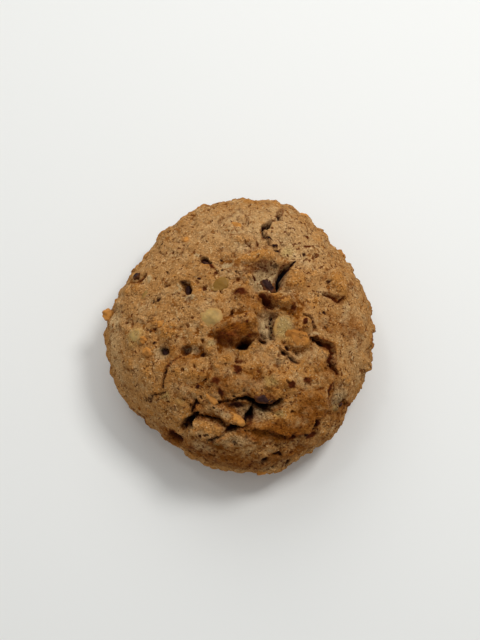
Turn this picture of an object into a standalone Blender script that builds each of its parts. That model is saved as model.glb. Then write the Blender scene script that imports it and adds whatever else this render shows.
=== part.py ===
"""A lemon and ginger biscuit: one hand-dropped, domed and craggy lump of baked dough.

The dough is a dome on a flat underside. Its crust has mounds, cracks, ledges and holes, and
the larger pieces of ginger, toasted nut and dried fruit stand out of it. It is all one solid.
Lengths in the tables are millimetres, and the mesh is in metres. +Z is up, the front is -Y.
"""

import math
import random
from collections import namedtuple

import bmesh
import bpy
import numpy as np
from mathutils import Matrix, Vector, noise

MM = 0.001

# Driving dimensions of the dough, in mm
WIDTH = 65.8  # left to right
DEPTH = 69.2  # front to back
HEIGHT = 29.8
BELLY_HEIGHT = 9.0  # where the biscuit is widest
UNDERSIDE_SHARE = 0.87  # the flat underside's radius over the belly's
DOME_POWER = 2.25  # 2 is an ellipsoid, more is squarer in profile

# The plan isn't quite round: (bearing in degrees from +X, half width in degrees, mm outwards)
PLAN_BULGES = (
    (42, 13, -1.2),
    (75, 26, 1.3),
    (128, 12, 0.9),
    (140, 24, -2.7),
    (190, 14, 0.3),
    (236, 26, -3.0),
    (300, 13, -0.9),
    (332, 17, -1.3),
)

# The mesh: quads along each edge of the cube that is blown up into the dough, and the share
# of its triangles that is kept, which gather where the crags are
CUBE_QUADS = 90
KEPT_SHARE = 0.098
SHARP_ANGLE = math.radians(50)
WELD = 0.06  # mm, for what the cut through the underside leaves
LEAST_HALF = 0.8  # mm, half of the narrowest mound or hollow that the mesh can follow
LEAST_WIDTH = 1.8  # mm, of the narrowest crack
SUNKEN_FADE = (-3.0, -1.0)  # crags fade out over these heights, below the underside

# Crags are laid out as the eye finds them that looks down on the biscuit from the front.
# Their places are mm to the right and upwards, in a plane through the middle of the biscuit.
EYE_RISE = math.radians(72)
EYE_DISTANCE = 320.0
EYE_AIM = np.array((0.0, 0.0, 10.0))
EYE_LIFT = 4.0  # the eye's own axis passes this far above the aim
RIGHT = np.array((1.0, 0.0, 0.0))
UPWARDS = np.array((0.0, math.sin(EYE_RISE), math.cos(EYE_RISE)))
TOWARDS_EYE = np.array((0.0, -math.cos(EYE_RISE), math.sin(EYE_RISE)))

# A mound or, with a negative height, a hollow: its half sizes, its turn in degrees,
# and how steep its edge is, from 0 for a soft swell to 1 for a step
Mound = namedtuple("Mound", "place halves turn height edge")
# A crack or, with a negative depth, a ridge. The side to the left of its course stands
# higher by rise, which fades out over reach
Crack = namedtuple("Crack", "course width depth rise reach")
# A piece that stands out of the crust: its half sizes and how much of it is sunk, 0 to 1
Chunk = namedtuple("Chunk", "place halves turn sunk")
# Everything that moves the crust, each with the point of the dome where it is
Crags = namedtuple("Crags", "mounds cracks calm")

MOUNDS = {
    "knob, upper": Mound((1.8, 8.8), (3.7, 4.8), 22, 1.7, 0.6),
    "knob, lower": Mound((-0.6, 1.4), (5.7, 3.6), 12, 2.5, 0.9),
    "knob's shoulder": Mound((2.8, 2.6), (2.0, 2.2), 0, 1.0, 0.6),
    "orange lump": Mound((14.2, -1.3), (3.4, 2.2), -14, 2.1, 0.7),
    "round lump": Mound((15.4, 2.8), (1.7, 1.7), 0, 1.0, 0.5),
    "lump by the east crack": Mound((19.3, -5.4), (2.8, 2.9), 0, 1.0, 0.4),
    "north plate": Mound((4.0, 27.0), (8.0, 7.0), -20, 0.7, 0.2),
    "north flap": Mound((0.0, 29.5), (1.6, 2.6), 15, 0.5, 0.6),
    "north brow": Mound((4.0, 19.3), (5.0, 1.8), 14, 1.7, 0.65),
    "west brow": Mound((-1.2, 17.0), (1.6, 2.4), -30, 0.9, 0.5),
    "north-east plate": Mound((15.0, 24.0), (7.5, 8.0), 0, 0.6, 0.2),
    "east lump": Mound((14.3, 14.3), (3.0, 3.0), 0, 1.6, 0.5),
    "far east lump": Mound((24.3, 13.2), (2.9, 3.6), 10, 1.9, 0.55),
    "east rim lump": Mound((29.8, 2.2), (2.0, 2.0), 0, 0.9, 0.4),
    "lower east rim lump": Mound((30.4, -6.0), (1.6, 2.2), 0, 0.7, 0.3),
    "south-east plate": Mound((13.0, -13.8), (8.8, 9.2), 20, 1.5, 0.4),
    "middle plate": Mound((-5.0, -9.5), (7.5, 5.0), 5, 0.9, 0.3),
    "plate behind the hairline": Mound((-13.0, -9.8), (5.0, 4.6), 0, 0.9, 0.4),
    "lump below the knob": Mound((-7.2, -2.4), (2.3, 2.1), 0, 1.2, 0.5),
    "second lump below it": Mound((-3.8, -5.8), (2.4, 1.6), 0, 0.8, 0.5),
    "south-west plate": Mound((-20.5, -12.0), (8.0, 8.0), 0, 0.5, 0.1),
    "wedge behind the flap": Mound((-3.6, -19.4), (4.2, 1.7), -30, 1.5, 0.7),
    "south flap": Mound((-7.6, -23.8), (5.0, 2.9), 8, 1.7, 0.7),
    "south pale lump": Mound((0.5, -25.6), (4.4, 2.4), 0, 0.8, 0.3),
    "outer south-east lump": Mound((21.5, -22.5), (3.6, 3.0), 35, 0.9, 0.3),
    "outer east lump": Mound((26.5, -11.5), (3.0, 3.2), 0, 0.7, 0.3),
    "west lump": Mound((-17.8, 1.5), (2.6, 2.9), 0, 1.0, 0.4),
    "far west lump": Mound((-26.4, 0.0), (3.0, 2.2), 0, 0.7, 0.4),
    "lump over the black hole": Mound((-11.5, 15.5), (2.4, 1.3), 0, 0.6, 0.4),
    "lump in the middle hollow": Mound((6.1, 1.9), (1.5, 2.2), 15, 1.3, 0.6),
    "south-west rim lump": Mound((-28.8, -14.0), (1.8, 1.4), 50, 0.9, 0.5),
    "north-west rim lump": Mound((-18.2, 26.8), (2.4, 1.8), 40, 1.0, 0.5),
    "north-east rim lump": Mound((19.0, 29.4), (2.2, 1.6), -35, 0.9, 0.5),
    "upper east rim lump": Mound((24.6, 23.4), (2.2, 1.6), -50, 0.8, 0.5),
    "north hollow": Mound((7.8, 14.2), (5.2, 4.4), 30, -3.1, 0.7),
    "middle hollow": Mound((7.0, 2.2), (2.9, 4.4), -8, -2.4, 0.65),
    "hollow under the orange lump": Mound((14.2, -4.8), (2.4, 1.4), 0, -0.5, 0.4),
    "south hollow": Mound((2.6, -18.9), (6.4, 2.8), -4, -2.3, 0.5),
    "north-west hollow": Mound((-3.7, 18.4), (2.1, 2.0), 10, -1.1, 0.5),
    "hollow by the round hole": Mound((-10.4, -3.9), (2.3, 1.7), 0, -1.3, 0.5),
    "west hollow": Mound((-19.2, -4.6), (2.1, 2.4), 0, -0.8, 0.4),
    "pale hollow in the gully": Mound((11.5, 22.6), (3.2, 3.4), 20, -0.5, 0.1),
}

HOLES = {
    "under the knob": Mound((0.9, -2.3), (2.4, 1.0), 18, -3.4, 0.8),
    "gully hole": Mound((6.8, 27.2), (1.9, 1.0), 55, -2.0, 0.7),
    "maroon hole": Mound((-8.7, 18.5), (1.7, 0.8), -32, -1.4, 0.7),
    "black hole": Mound((-13.2, 12.1), (1.1, 1.7), 15, -2.2, 0.8),
    "west rim hole": Mound((-24.6, 14.4), (1.6, 1.2), 5, -1.1, 0.5),
    "purple hole": Mound((-19.2, -4.0), (1.1, 1.0), 0, -1.0, 0.6),
    "round hole": Mound((-13.7, -3.6), (1.4, 1.2), 0, -1.4, 0.7),
    "south-west hole": Mound((-12.9, -21.7), (1.7, 1.4), 20, -3.4, 0.8),
    "south-west hole, upper end": Mound((-11.3, -20.3), (1.5, 0.8), 50, -2.4, 0.8),
    "south-west hole, lower end": Mound((-14.3, -22.9), (1.3, 0.9), 75, -2.0, 0.7),
    "south hole": Mound((6.2, -17.8), (1.9, 1.5), -20, -2.6, 0.8),
    "south hole, right end": Mound((9.0, -16.6), (1.8, 1.0), 25, -2.0, 0.8),
    "south hole, left end": Mound((3.7, -17.0), (1.3, 0.8), -30, -1.4, 0.8),
    "south branch hole": Mound((2.5, -20.3), (0.9, 1.6), -8, -2.0, 0.8),
    "hole in front of the flap": Mound((-1.5, -22.9), (2.0, 0.8), 22, -1.8, 0.8),
    "south-west rim hole": Mound((-16.3, -25.2), (1.8, 1.0), -12, -1.6, 0.6),
    "south-east notch": Mound((18.4, -21.4), (0.9, 1.4), -20, -1.5, 0.6),
    "south pit": Mound((-1.7, -26.4), (1.0, 0.6), -20, -0.8, 0.5),
    "wall pit": Mound((11.2, -32.0), (1.0, 0.6), 20, -1.2, 0.5),
    "wall slit": Mound((5.5, -31.1), (1.3, 0.5), 0, -1.2, 0.5),
    "upper wall slit": Mound((9.0, -29.4), (1.1, 0.45), 0, -1.0, 0.5),
}

CRACKS = {
    "north gully": Crack(
        ((10.8, 33.0), (9.5, 30.6), (9.7, 29.0), (7.6, 28.2), (5.9, 26.2), (6.1, 24.3), (7.6, 22.6), (9.2, 20.8)),
        0.9, 1.3, 0.5, 4.0,
    ),
    "black gap": Crack(((13.4, 18.3), (11.4, 17.4), (10.6, 15.8), (10.0, 13.8), (9.0, 10.9)), 1.4, 3.2, 0.3, 2.0),
    "gap beside the knob": Crack(((4.9, 10.4), (6.2, 8.9), (7.6, 7.4), (8.4, 6.6)), 1.7, 1.5, 0.0, 1.0),
    "dotted seam": Crack(((7.8, 6.6), (7.9, 4.4), (8.6, 2.2), (8.4, 0.4), (9.0, -1.6)), 0.7, 0.9, 0.0, 1.0),
    "bridge": Crack(((4.8, 11.4), (7.6, 9.4), (10.4, 8.3), (13.8, 7.8)), 2.6, -3.0, 0.0, 1.0),
    "under the brow": Crack(((8.6, 18.3), (5.0, 17.6), (2.0, 16.4), (-0.4, 15.2)), 1.0, 0.9, 0.0, 2.0),
    "north hairline": Crack(((-0.5, 32.0), (0.6, 30.7), (1.6, 29.4), (1.8, 27.9), (0.8, 26.6)), 0.5, 0.5, 0.0, 2.0),
    "under the knob, right": Crack(((4.2, -0.8), (6.4, -1.5), (7.2, -1.0)), 0.8, 1.4, 0.0, 1.0),
    "foot of the knob": Crack(((-6.2, -0.2), (-3.6, -1.2), (-1.0, -2.2)), 1.4, 1.0, 0.6, 2.0),
    "middle seam": Crack(((9.6, -2.8), (11.2, -4.4), (12.6, -5.7), (15.0, -6.8)), 0.8, 1.1, 0.0, 2.0),
    "east seam": Crack(
        ((15.5, 5.7), (17.0, 4.8), (18.0, 3.4), (18.8, 2.0), (19.7, 1.3)), 0.6, 0.8, 0.2, 2.0
    ),
    "east crack": Crack(
        ((17.7, -0.2), (20.0, -1.3), (21.3, -2.3), (22.7, -3.0), (23.0, -4.4), (22.2, -6.2), (22.9, -7.6), (24.4, -9.6)),
        1.7, 1.7, 0.3, 3.0,
    ),
    "east crack's top": Crack(((17.9, -0.3), (19.4, -1.0), (20.6, -1.8)), 0.9, 1.8, 0.2, 1.5),
    "east crease": Crack(((20.2, 11.2), (22.4, 10.1), (24.6, 8.9), (26.4, 9.6)), 0.9, 1.0, 0.5, 3.0),
    "south crack": Crack(
        ((-2.2, -16.4), (-0.4, -15.9), (1.6, -15.6), (3.0, -16.8), (4.4, -17.2), (6.4, -17.8), (9.0, -16.9),
         (11.0, -15.2)),
        1.2, 2.8, -0.8, 3.0,
    ),
    "south crack's left end": Crack(((-6.9, -17.4), (-4.4, -16.4), (-2.2, -16.2)), 0.6, 1.0, -0.4, 3.0),
    "south branch": Crack(((3.4, -17.2), (3.0, -19.2), (1.8, -21.4), (0.2, -22.4), (-2.4, -23.6)), 1.2, 2.0, 0.5, 2.0),
    "flap's front": Crack(((-2.4, -23.6), (-5.2, -24.6), (-8.0, -25.9)), 0.6, 1.0, 0.5, 2.0),
    "flap's top": Crack(((-12.0, -20.6), (-9.0, -20.5), (-5.6, -21.0), (-2.6, -23.0)), 0.7, 1.3, -0.5, 2.0),
    "south-west seam": Crack(((-12.2, -19.6), (-11.4, -17.8), (-10.6, -16.0)), 0.8, 1.3, 0.2, 3.0),
    "hairline": Crack(
        ((-14.2, -5.0), (-16.7, -6.8), (-18.4, -8.6), (-19.0, -10.5), (-19.4, -12.2), (-18.3, -13.7), (-20.8, -15.0)),
        0.5, 0.7, 0.15, 2.0,
    ),
    "south ledge": Crack(
        ((1.4, -23.9), (4.0, -23.0), (7.0, -23.6), (10.5, -24.6), (14.0, -24.7), (16.8, -23.8), (18.4, -21.4),
         (20.5, -19.5), (21.6, -17.4), (21.3, -15.5), (22.0, -13.6), (22.3, -12.0), (23.4, -10.2)),
        0.8, 0.9, 1.6, 7.0,
    ),
    "outer east crack": Crack(((25.6, -15.0), (26.4, -16.8), (27.4, -18.8)), 0.6, 1.0, 0.3, 2.0),
    "east rim crevice": Crack(((32.4, 6.4), (32.9, 3.0), (32.6, -0.6), (31.8, -3.6)), 0.8, 1.0, 0.2, 1.5),
    "south-west rim crack": Crack(((-11.6, -26.8), (-12.4, -28.2), (-11.6, -30.0)), 0.6, 0.9, 0.3, 2.0),
    "west rim crack": Crack(
        ((-28.0, -15.8), (-26.6, -17.8), (-25.2, -19.6), (-23.8, -21.6), (-21.8, -23.8)), 1.0, 1.1, 0.3, 2.0
    ),
}

CHUNKS = {
    "ginger, large": Chunk((-7.1, 4.5), (2.9, 2.6, 1.3), 8, 0.80),
    "ginger, olive flake": Chunk((-5.2, 13.0), (2.9, 2.1, 1.0), 8, 0.86),
    "ginger, middle": Chunk((10.9, 2.4), (2.5, 3.2, 1.3), -8, 0.84),
    "ginger, west": Chunk((-26.2, 0.1), (1.9, 1.7, 1.1), 25, 0.76),
    "nut, at the rim": Chunk((-32.0, 5.0), (1.4, 1.7, 1.9), 6, 0.36),
    "nut, gold top": Chunk((-0.8, 27.0), (1.6, 0.9, 0.8), -25, 0.62),
    "nut, on the west lump": Chunk((-19.8, 3.1), (1.2, 1.3, 0.9), 0, 0.56),
    "nut, west": Chunk((-24.0, -1.3), (1.1, 1.2, 0.9), -15, 0.55),
    "nut, lower west": Chunk((-23.0, -3.9), (1.6, 1.3, 0.9), 0, 0.56),
    "nut, orange": Chunk((-6.9, -15.6), (1.9, 1.4, 1.1), -35, 0.58),
    "nut, end of the wedge": Chunk((-1.0, -21.0), (2.3, 1.3, 1.1), -32, 0.62),
    "nut, orange lump": Chunk((14.2, -0.6), (3.5, 2.2, 1.7), -14, 0.7),
    "nut, north rim": Chunk((-8.6, 32.2), (1.9, 1.1, 1.0), 25, 0.5),
    "nut, south-west rim": Chunk((-11.2, -30.9), (1.9, 0.7, 0.8), -35, 0.55),
    "fruit, in the north hollow": Chunk((7.5, 13.9), (2.3, 1.4, 1.0), -48, 0.56),
    "fruit, in the south crack": Chunk((7.2, -16.2), (2.4, 1.0, 1.0), -4, 0.8),
    "fruit, in the black hole": Chunk((-13.2, 12.0), (0.9, 1.4, 0.8), 15, 0.5),
}

# The back can't be seen, so its crags follow the same kinds and sizes by a seeded draw
BACK_SEED = 11
BACK_BEARINGS = (28, 152)  # degrees from +X, round by the back
BACK_HEIGHTS = (3.5, 11.0)
BACK_MOUNDS = 9
BACK_CRACKS = 5
BACK_CHUNKS = 7

# Where the crust is smoother: the height is the share of its bumps that goes
CALM = {
    "north-west": Mound((-16.0, 15.0), (15.0, 13.0), 0, -0.35, 0.0),
    "south-west": Mound((-22.0, -13.0), (11.0, 13.0), 0, -0.55, 0.0),
    "east": Mound((27.0, 4.0), (8.0, 15.0), 0, -0.65, 0.0),
    "north-east": Mound((21.0, 20.0), (9.0, 7.0), -40, -0.35, 0.0),
    "south wall": Mound((3.0, -31.5), (15.0, 5.0), 0, -0.45, 0.0),
}
# Bumps all over the crust: (size of a bump, its height, a shift so that each is its own)
BUMPS = ((11.0, 1.4, 3.7), (5.0, 1.25, 19.1), (2.6, 0.85, 31.3))
BUMP_BASE = 0.18  # of a bump's height, which lies under the dome's surface
# How far the edges of mounds and cracks wander: (size of a wander, how far)
WANDERS = ((4.0, 0.5), (1.8, 0.35))
WANDER_SHIFTS = (5.3, 27.1, 43.9)  # one for each axis, so that they wander apart


def plan_radius(bearing):
    """The belly's radius at bearings in radians: an ellipse with the plan's bulges added."""
    half_width, half_depth = WIDTH / 2, DEPTH / 2
    radius = half_width * half_depth / np.hypot(half_depth * np.cos(bearing), half_width * np.sin(bearing))
    for middle, spread, outwards in PLAN_BULGES:
        off = (np.degrees(bearing) - middle + 180) % 360 - 180
        radius = radius + outwards * np.exp(-((off / spread) ** 2))
    return radius


def beyond_dome(points):
    """Under 0 inside the smooth dough, 0 on its surface and over 0 outside it."""
    bearing = np.arctan2(points[:, 1], points[:, 0])
    across = np.hypot(points[:, 0], points[:, 1]) / plan_radius(bearing)
    rise = points[:, 2] - BELLY_HEIGHT
    above = (np.maximum(rise, 0) / (HEIGHT - BELLY_HEIGHT)) ** DOME_POWER + across**DOME_POWER
    bowl = BELLY_HEIGHT / math.sqrt(1 - UNDERSIDE_SHARE**2)
    below = (np.minimum(rise, 0) / bowl) ** 2 + across**2
    return np.where(rise > 0, above, below) - 1


def where_ray_leaves(start, directions, inside, outside):
    """The points where rays cross the dough's surface, found by halving the stretch between."""
    near = np.full(len(directions), float(inside))
    far = np.full(len(directions), float(outside))
    for _ in range(40):
        middle = (near + far) / 2
        within = beyond_dome(start + middle[:, None] * directions) < 0
        near = np.where(within, middle, near)
        far = np.where(within, far, middle)
    return start + near[:, None] * directions


def outward(points):
    """Unit normals of the smooth dough, from the slope of beyond_dome."""
    step = 0.05
    slope = np.stack(
        [beyond_dome(points + step * axis) - beyond_dome(points - step * axis) for axis in np.eye(3)], axis=1
    )
    return slope / np.linalg.norm(slope, axis=1, keepdims=True)


def seen_at(place):
    """The point of the dough that the eye finds at this many mm right and up."""
    eye = EYE_AIM + EYE_LIFT * UPWARDS + EYE_DISTANCE * TOWARDS_EYE
    target = EYE_AIM + place[0] * RIGHT + place[1] * UPWARDS
    sight = (target - eye) / np.linalg.norm(target - eye)
    # The ray is followed from its point nearest the middle of the dough, back towards the eye
    middle = np.array((0.0, 0.0, BELLY_HEIGHT))
    deepest = np.dot(middle - eye, sight)
    start = eye + deepest * sight
    if beyond_dome(start[None])[0] >= 0:  # past the rim, so the nearest point of the rim is taken
        level = np.array((start[0], start[1], 0.0))
        return where_ray_leaves(middle, level[None] / np.linalg.norm(level), 0.0, 2 * DEPTH)[0]
    return where_ray_leaves(start, -sight[None], 0.0, EYE_DISTANCE / 2)[0]


def round_at(bearing, height):
    """The point of the dough's side at a bearing in degrees and a height."""
    turn = math.radians(bearing)
    direction = np.array([[math.cos(turn), math.sin(turn), 0.0]])
    return where_ray_leaves(np.array((0.0, 0.0, height)), direction, 0.0, DEPTH)[0]


def axes_at(anchor, turn):
    """Two axes in the surface, turned by degrees from the right, and the one that points out."""
    out = outward(anchor[None])[0]
    right = RIGHT - np.dot(RIGHT, out) * out
    right = right / np.linalg.norm(right)
    up = np.cross(out, right)
    angle = math.radians(turn)
    along = math.cos(angle) * right + math.sin(angle) * up
    return along, np.cross(out, along), out


def smooth(share):
    """Runs from 0 to 1 with level ends."""
    share = np.clip(share, 0, 1)
    return share * share * (3 - 2 * share)


def mound_relief(points, mound, anchor):
    """How far a mound lifts each point, or a hollow lowers it."""
    along, across, out = axes_at(anchor, mound.turn)
    offset = points - anchor
    first_half, second_half = (max(half, LEAST_HALF) for half in mound.halves)
    away = np.sqrt(
        (offset @ along / first_half) ** 2
        + (offset @ across / second_half) ** 2
        + (offset @ out / (2 * first_half)) ** 2
    )
    rim_width = 1 - 0.8 * mound.edge
    return mound.height * smooth((1 + 0.4 * rim_width - away) / (1.4 * rim_width))


def crack_relief(points, crack, anchors):
    """How far a crack lowers each point, and how far its raised side lifts it."""
    nearest = np.full(len(points), 1e9)
    gone = np.zeros(len(points))  # how far along the course the nearest place is
    side = np.zeros(len(points))
    course_length = 0.0
    for first, last in zip(anchors, anchors[1:]):
        run = last - first
        length = np.linalg.norm(run)
        offset = points - first
        share = np.clip(offset @ run / length**2, 0, 1)
        to_line = offset - share[:, None] * run
        distance = np.linalg.norm(to_line, axis=1)
        leftwards = np.cross(outward(((first + last) / 2)[None])[0], run / length)
        closer = distance < nearest
        nearest = np.where(closer, distance, nearest)
        gone = np.where(closer, course_length + share * length, gone)
        side = np.where(closer, to_line @ leftwards, side)
        course_length += length
    from_end = np.minimum(gone, course_length - gone) / (0.2 * course_length)
    taper = np.sqrt(np.clip(from_end, 0.02, 1))
    width = max(crack.width, LEAST_WIDTH)
    groove = 1 - smooth((nearest / (width * (0.4 + 0.6 * taper)) - 0.3) / 0.4)
    lifted = smooth(0.5 + side / crack.width) * (1 - smooth(nearest / crack.reach))
    return taper * (crack.rise * lifted - crack.depth * groove)


def noise_at(points, size, shift):
    """A soft random value about 0 at each point, whose swings are of this size."""
    return np.array([noise.noise(place) for place in (points / size + shift).tolist()])


def bump_relief(points, calm):
    """Rounded bumps with creases between them, of several sizes, lower where the crust is calm."""
    kept = np.ones(len(points))
    for mound, anchor in calm:
        kept += mound_relief(points, mound, anchor)
    relief = np.zeros(len(points))
    for size, height, shift in BUMPS:
        relief += height * (np.abs(noise_at(points, size, shift)) - BUMP_BASE)
    return kept * relief


def wander(points):
    """The points, each moved a little, so that what is measured from them has ragged edges."""
    moved = points.copy()
    for size, far in WANDERS:
        for axis, shift in enumerate(WANDER_SHIFTS):
            moved[:, axis] += far * noise_at(points, size, shift)
    return moved


def anchored(table):
    """Each entry of a table with the point of the dough where the eye finds it."""
    return [(entry, seen_at(entry.place)) for entry in table.values()]


def back_crags():
    """Mounds, cracks and pieces for the side that is turned away from the eye, with their anchors."""
    draw = random.Random(BACK_SEED)

    def somewhere():
        return draw.uniform(*BACK_BEARINGS), draw.uniform(*BACK_HEIGHTS)

    mounds = []
    for _ in range(BACK_MOUNDS):
        halves = (draw.uniform(2.5, 5.5), draw.uniform(2.0, 3.5))
        mound = Mound(None, halves, draw.uniform(-40, 40), draw.uniform(0.6, 1.4), draw.uniform(0.1, 0.5))
        mounds.append((mound, round_at(*somewhere())))
    cracks = []
    for _ in range(BACK_CRACKS):
        bearing, height = somewhere()
        course = [(bearing, height)]
        for _ in range(3):
            bearing += draw.uniform(4, 9)
            height = max(2.5, height + draw.uniform(-3.5, 3.5))
            course.append((bearing, height))
        crack = Crack(None, 1.2, draw.uniform(1.2, 2.2), draw.uniform(0.2, 1.0), 3.5)
        cracks.append((crack, [round_at(*step) for step in course]))
    chunks = []
    for _ in range(BACK_CHUNKS):
        halves = sorted((draw.uniform(1.1, 2.2) for _ in range(3)), reverse=True)
        chunks.append((Chunk(None, tuple(halves), draw.uniform(-60, 60), 0.5), round_at(*somewhere())))
    return mounds, cracks, chunks


def crag_relief(points, crags):
    """How far every bump, mound and crack together move each point outwards."""
    ragged = wander(points)
    relief = bump_relief(ragged, crags.calm)
    for mound, anchor in crags.mounds:
        relief += mound_relief(ragged, mound, anchor)
    for crack, anchors in crags.cracks:
        relief += crack_relief(ragged, crack, anchors)
    return relief


def blown_cube():
    """A cube cut into squares, as a bmesh, with each vertex's direction from the middle."""
    shape = bmesh.new()
    bmesh.ops.create_cube(shape, size=2)
    bmesh.ops.subdivide_edges(shape, edges=shape.edges[:], cuts=CUBE_QUADS - 1, use_grid_fill=True)
    # The tangent spaces the squares evenly once they are on a ball
    corners = np.tan(np.array([v.co for v in shape.verts]) * math.pi / 4)
    return shape, corners / np.linalg.norm(corners, axis=1, keepdims=True)


def dough_mesh(crags):
    """The whole dome with its crags and a smooth bowl below, before it is cut level."""
    shape, directions = blown_cube()
    middle = np.array((0.0, 0.0, BELLY_HEIGHT))
    smooth_points = where_ray_leaves(middle, directions, 0.0, DEPTH)
    lowest, highest = SUNKEN_FADE
    shown = smooth((smooth_points[:, 2] - lowest) / (highest - lowest))
    relief = shown * crag_relief(smooth_points, crags)
    points = smooth_points + relief[:, None] * outward(smooth_points)
    for vertex, point in zip(shape.verts, points):
        vertex.co = Vector(point * MM)
    return shape


def cut_level(dough):
    """Cuts the dome level at the underside and closes it with one flat face."""
    shape = bmesh.new()
    shape.from_mesh(dough.data)
    everything = shape.verts[:] + shape.edges[:] + shape.faces[:]
    cut = bmesh.ops.bisect_plane(
        shape, geom=everything, dist=1e-7, plane_co=(0, 0, 0), plane_no=(0, 0, 1), clear_inner=True
    )
    rim = [item for item in cut["geom_cut"] if isinstance(item, bmesh.types.BMEdge)]
    rim_vertices = list(dict.fromkeys(vertex for edge in rim for vertex in edge.verts))
    bmesh.ops.remove_doubles(shape, verts=rim_vertices, dist=WELD * MM)
    bmesh.ops.holes_fill(shape, edges=[edge for edge in shape.edges if edge.is_boundary], sides=0)
    bmesh.ops.recalc_face_normals(shape, faces=shape.faces[:])
    shape.to_mesh(dough.data)
    shape.free()
    shade(dough.data)


def shade(mesh):
    """Shades a mesh smooth but for its sharp edges."""
    mesh.shade_smooth()
    mesh.set_sharp_from_angle(angle=SHARP_ANGLE)


def apply(modifier, piece):
    """Applies one of the piece's modifiers."""
    with bpy.context.temp_override(object=piece, active_object=piece):
        bpy.ops.object.modifier_apply(modifier=modifier.name)


def thin_out(piece):
    """Keeps a share of the triangles, where they matter most."""
    thinning = piece.modifiers.new("thinning", "DECIMATE")
    thinning.ratio = KEPT_SHARE
    thinning.use_collapse_triangulate = True
    apply(thinning, piece)


def as_object(name, shape, material):
    """Turns a bmesh into an object of that name."""
    mesh = bpy.data.meshes.new(name)
    shape.to_mesh(mesh)
    shape.free()
    mesh.materials.append(material)
    shade(mesh)
    piece = bpy.data.objects.new(name, mesh)
    bpy.context.scene.collection.objects.link(piece)
    return piece


def chunk_object(number, chunk, anchor, surface, material):
    """One rounded piece, sunk into the crust at its anchor."""
    shape = bmesh.new()
    bmesh.ops.create_icosphere(shape, subdivisions=2, radius=1)
    along, across, out = axes_at(anchor, chunk.turn)
    for vertex in shape.verts:
        # Pulled towards a cube, and uneven like a chopped piece
        blunt = max(abs(c) for c in vertex.co) ** 0.5
        uneven = 1 + 0.12 * noise.noise(vertex.co * 1.3 + Vector((number, 0, 0)))
        vertex.co *= uneven / blunt
    sizes = Matrix.Diagonal((*chunk.halves, 1))
    axes = Matrix([(*axis, 0) for axis in (along, across, out)] + [(0, 0, 0, 1)]).transposed()
    centre = surface - chunk.halves[2] * (2 * chunk.sunk - 1) * out
    shape.transform(Matrix.Scale(MM, 4) @ Matrix.Translation(Vector(centre)) @ axes @ sizes)
    return as_object(f"chunk_{number}", shape, material)


def fuse(dough, chunks):
    """Joins the pieces to the dough in one union and removes them."""
    collection = bpy.data.collections.new("chunks")
    bpy.context.scene.collection.children.link(collection)
    for chunk in chunks:
        bpy.context.scene.collection.objects.unlink(chunk)
        collection.objects.link(chunk)
    union = dough.modifiers.new("union", "BOOLEAN")
    union.operation = "UNION"
    union.operand_type = "COLLECTION"
    union.collection = collection
    apply(union, dough)
    for chunk in chunks:
        bpy.data.objects.remove(chunk)
    bpy.data.collections.remove(collection)


def crust_material():
    """Matt, golden-brown baked dough."""
    material = bpy.data.materials.new("crust")
    material.use_nodes = True
    shader = material.node_tree.nodes["Principled BSDF"]
    shader.inputs["Base Color"].default_value = (0.37, 0.20, 0.09, 1)
    shader.inputs["Roughness"].default_value = 0.85
    shader.inputs["Metallic"].default_value = 0.0
    return material


def build_biscuit():
    for old in list(bpy.data.objects):
        bpy.data.objects.remove(old)
    material = crust_material()
    back_mounds, back_cracks, back_chunks = back_crags()
    crags = Crags(
        anchored(MOUNDS) + anchored(HOLES) + back_mounds,
        [(crack, [seen_at(step) for step in crack.course]) for crack in CRACKS.values()] + back_cracks,
        anchored(CALM),
    )
    chunks = anchored(CHUNKS) + back_chunks
    dough = as_object("biscuit", dough_mesh(crags), material)
    thin_out(dough)
    cut_level(dough)
    anchors = np.array([anchor for _, anchor in chunks])
    surfaces = anchors + crag_relief(anchors, crags)[:, None] * outward(anchors)
    pieces = [
        chunk_object(number, chunk, anchor, surface, material)
        for number, ((chunk, anchor), surface) in enumerate(zip(chunks, surfaces))
    ]
    fuse(dough, pieces)


build_biscuit()
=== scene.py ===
"""Lemon and ginger biscuit: a hand-dropped, domed and craggy lump of baked dough.

The dough is a cube blown up into a dome and worked over like clay: soft bumps, mounds,
hollows, cracks and ledges, then flakes, pits and grain. Dice of candied ginger, toasted nuts
and dried fruit sit in it. The biscuit lies on a pale floor in soft light, seen from above.

Lengths in the tables are millimetres, and meshes are in metres. +Z is up, the front is -Y.
"""

import math
import random
from collections import namedtuple
from functools import lru_cache

import bpy
import numpy as np
from bpy.props import FloatProperty, FloatVectorProperty, IntProperty, PointerProperty
from mathutils import Matrix, Vector, noise


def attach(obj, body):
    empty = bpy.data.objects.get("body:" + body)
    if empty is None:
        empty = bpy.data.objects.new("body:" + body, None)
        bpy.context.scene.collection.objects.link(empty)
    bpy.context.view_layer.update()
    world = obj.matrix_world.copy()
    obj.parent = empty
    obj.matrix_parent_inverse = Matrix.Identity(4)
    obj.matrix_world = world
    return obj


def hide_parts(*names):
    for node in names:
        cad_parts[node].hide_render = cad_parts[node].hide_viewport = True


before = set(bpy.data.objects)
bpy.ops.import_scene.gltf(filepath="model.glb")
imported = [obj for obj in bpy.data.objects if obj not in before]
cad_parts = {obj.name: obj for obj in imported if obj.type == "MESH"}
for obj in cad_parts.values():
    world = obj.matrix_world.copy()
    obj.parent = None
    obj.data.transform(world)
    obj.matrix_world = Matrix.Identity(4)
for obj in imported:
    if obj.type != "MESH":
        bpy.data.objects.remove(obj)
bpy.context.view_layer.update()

bl_info = {
    "name": "Lemon and ginger biscuit",
    "version": (1, 0, 0),
    "blender": (4, 5, 0),
    "location": "View3D > Sidebar > Biscuit",
    "description": "Models a craggy dropped biscuit with ginger, nuts and dried fruit",
    "category": "Add Mesh",
}

MM = 0.001

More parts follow.
